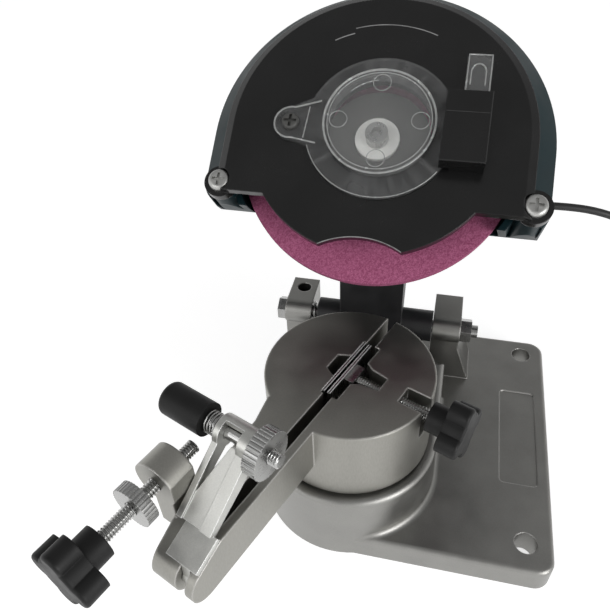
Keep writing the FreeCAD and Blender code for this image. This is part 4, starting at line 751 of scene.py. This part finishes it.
def ribs_tree(tree, size):
    """Round ribs along Z that shrink towards the far end, as on a moulded strain relief."""
    stride = add(tree, "ShaderNodeCombineXYZ", {"Z": size["Step"]}).outputs[0]
    spots = add(tree, "GeometryNodeMeshLine", {"Count": rib_count, "Offset": stride}).outputs["Mesh"]
    rib = swept(tree, ring(tree, size["Radius"], 32), size["Bead"], 10)
    number = add(tree, "GeometryNodeInputIndex").outputs[0]
    shrink = maths(tree, "SUBTRACT", 1.0, maths(tree, "MULTIPLY", number, size["Taper"]))
    placed = {"Points": spots, "Instance": rib, "Scale": shrink}
    return add(tree, "GeometryNodeInstanceOnPoints", placed).outputs[0]


relief_place = head_place @ Matrix.Translation(relief_root / 1000) @ Matrix.Rotation(math.pi / 2, 4, "Y")
rib_sizes = {"Step": rib_step / 1000, "Radius": rib_radius / 1000, "Bead": rib_bead / 1000,
             "Taper": rib_taper}
grown("relief_ribs", ribs_tree, rib_sizes, relief_place, soft_cover, "head", "cord_cover")

# Cord: a black two-core lead with a smooth soft cover, about 1.6 m long. It hangs from the strain relief to
# the bench, where it is put away as a small tied coil. The route is in the base's own layout, in millimetres,
# where part_origin lies midway between the bench holes.
part_origin = Vector((76.0, 29.0, 0.0))
cord_radius = 1.8
coil_x = 182.0
coil_y = 84.0
coil_radius = 27.0
coil_step = 4.2
coil_layers = 4
coil_loops = 10.25
coil_low = 3.0
layer_turns = coil_loops / coil_layers
points_a_turn = 12
plug_height = 6.1
bench_bend = Vector((145, 111.4, 25.5))


def coil_point(turns):
    """A point of the coil, which winds in and out by turns and climbs a layer where it reverses."""
    layer = min(int(turns / layer_turns), coil_layers - 1)
    inwards = turns - layer * layer_turns
    if layer % 2 == 1:
        inwards = layer_turns - inwards
    radius = coil_radius - coil_step * inwards
    climbed = sum(min(max(2 * (turns - top * layer_turns) + 0.5, 0), 1) for top in range(1, coil_layers))
    angle = math.pi / 2 - 2 * math.pi * turns
    height = coil_low + coil_step * climbed
    return Vector((coil_x + radius * math.cos(angle), coil_y + radius * math.sin(angle), height))


relief_tip = (head_place @ (relief_end / 1000)) * 1000 + part_origin
coil_points = [coil_point(step / points_a_turn) for step in range(int(points_a_turn * coil_loops) + 1)]
tail_start = coil_points[-1] - Vector((0, 2 * cord_radius, 0))
cord_route = [
    relief_tip,
    Vector((61, 105.8, 86.8)),
    Vector((78, 106.6, 87.6)),
    Vector((95, 107.8, 86.6)),
    Vector((111, 109.2, 81.5)),
    Vector((124, 110.4, 71.5)),
    Vector((133, 111.0, 57.5)),
    Vector((139, 111.3, 41.5)),
    bench_bend,
    Vector((154.5, 111.3, 12.0)),
    Vector((168, 111, coil_low + 0.8)),
    *coil_points,
    tail_start,
    tail_start + Vector((0, -13, -0.6)),
    tail_start + Vector((0.3, -26.5, -3.6)),
    tail_start + Vector((0.3, -40, -7.4)),
    Vector((tail_start.x, tail_start.y - 53, plug_height)),
]
cord_line = bpy.data.curves.new("cord line", "CURVE")
cord_line.dimensions = "3D"
cord_run = cord_line.splines.new("NURBS")
cord_run.points.add(len(cord_route) - 1)
for spot, point in zip(cord_run.points, cord_route):
    spot.co = (*((point - part_origin) / 1000), 1)
cord_run.order_u = 3
cord_run.use_endpoint_u = True
cord_run.resolution_u = 5
guide = put("cord guide", cord_line)
cord_path = [tuple(vertex.co) for vertex in settled(guide).vertices]
cord_line.bevel_depth = cord_radius / 1000
cord_line.bevel_resolution = 5
cord_line.use_fill_caps = True
bpy.context.view_layer.update()
tube = settled(guide)
bpy.data.objects.remove(guide)
paint(tube, soft_cover)
cord = put("mains_cord", tube)
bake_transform(cord)
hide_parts("cord", "cord_coil", "cord_tail")
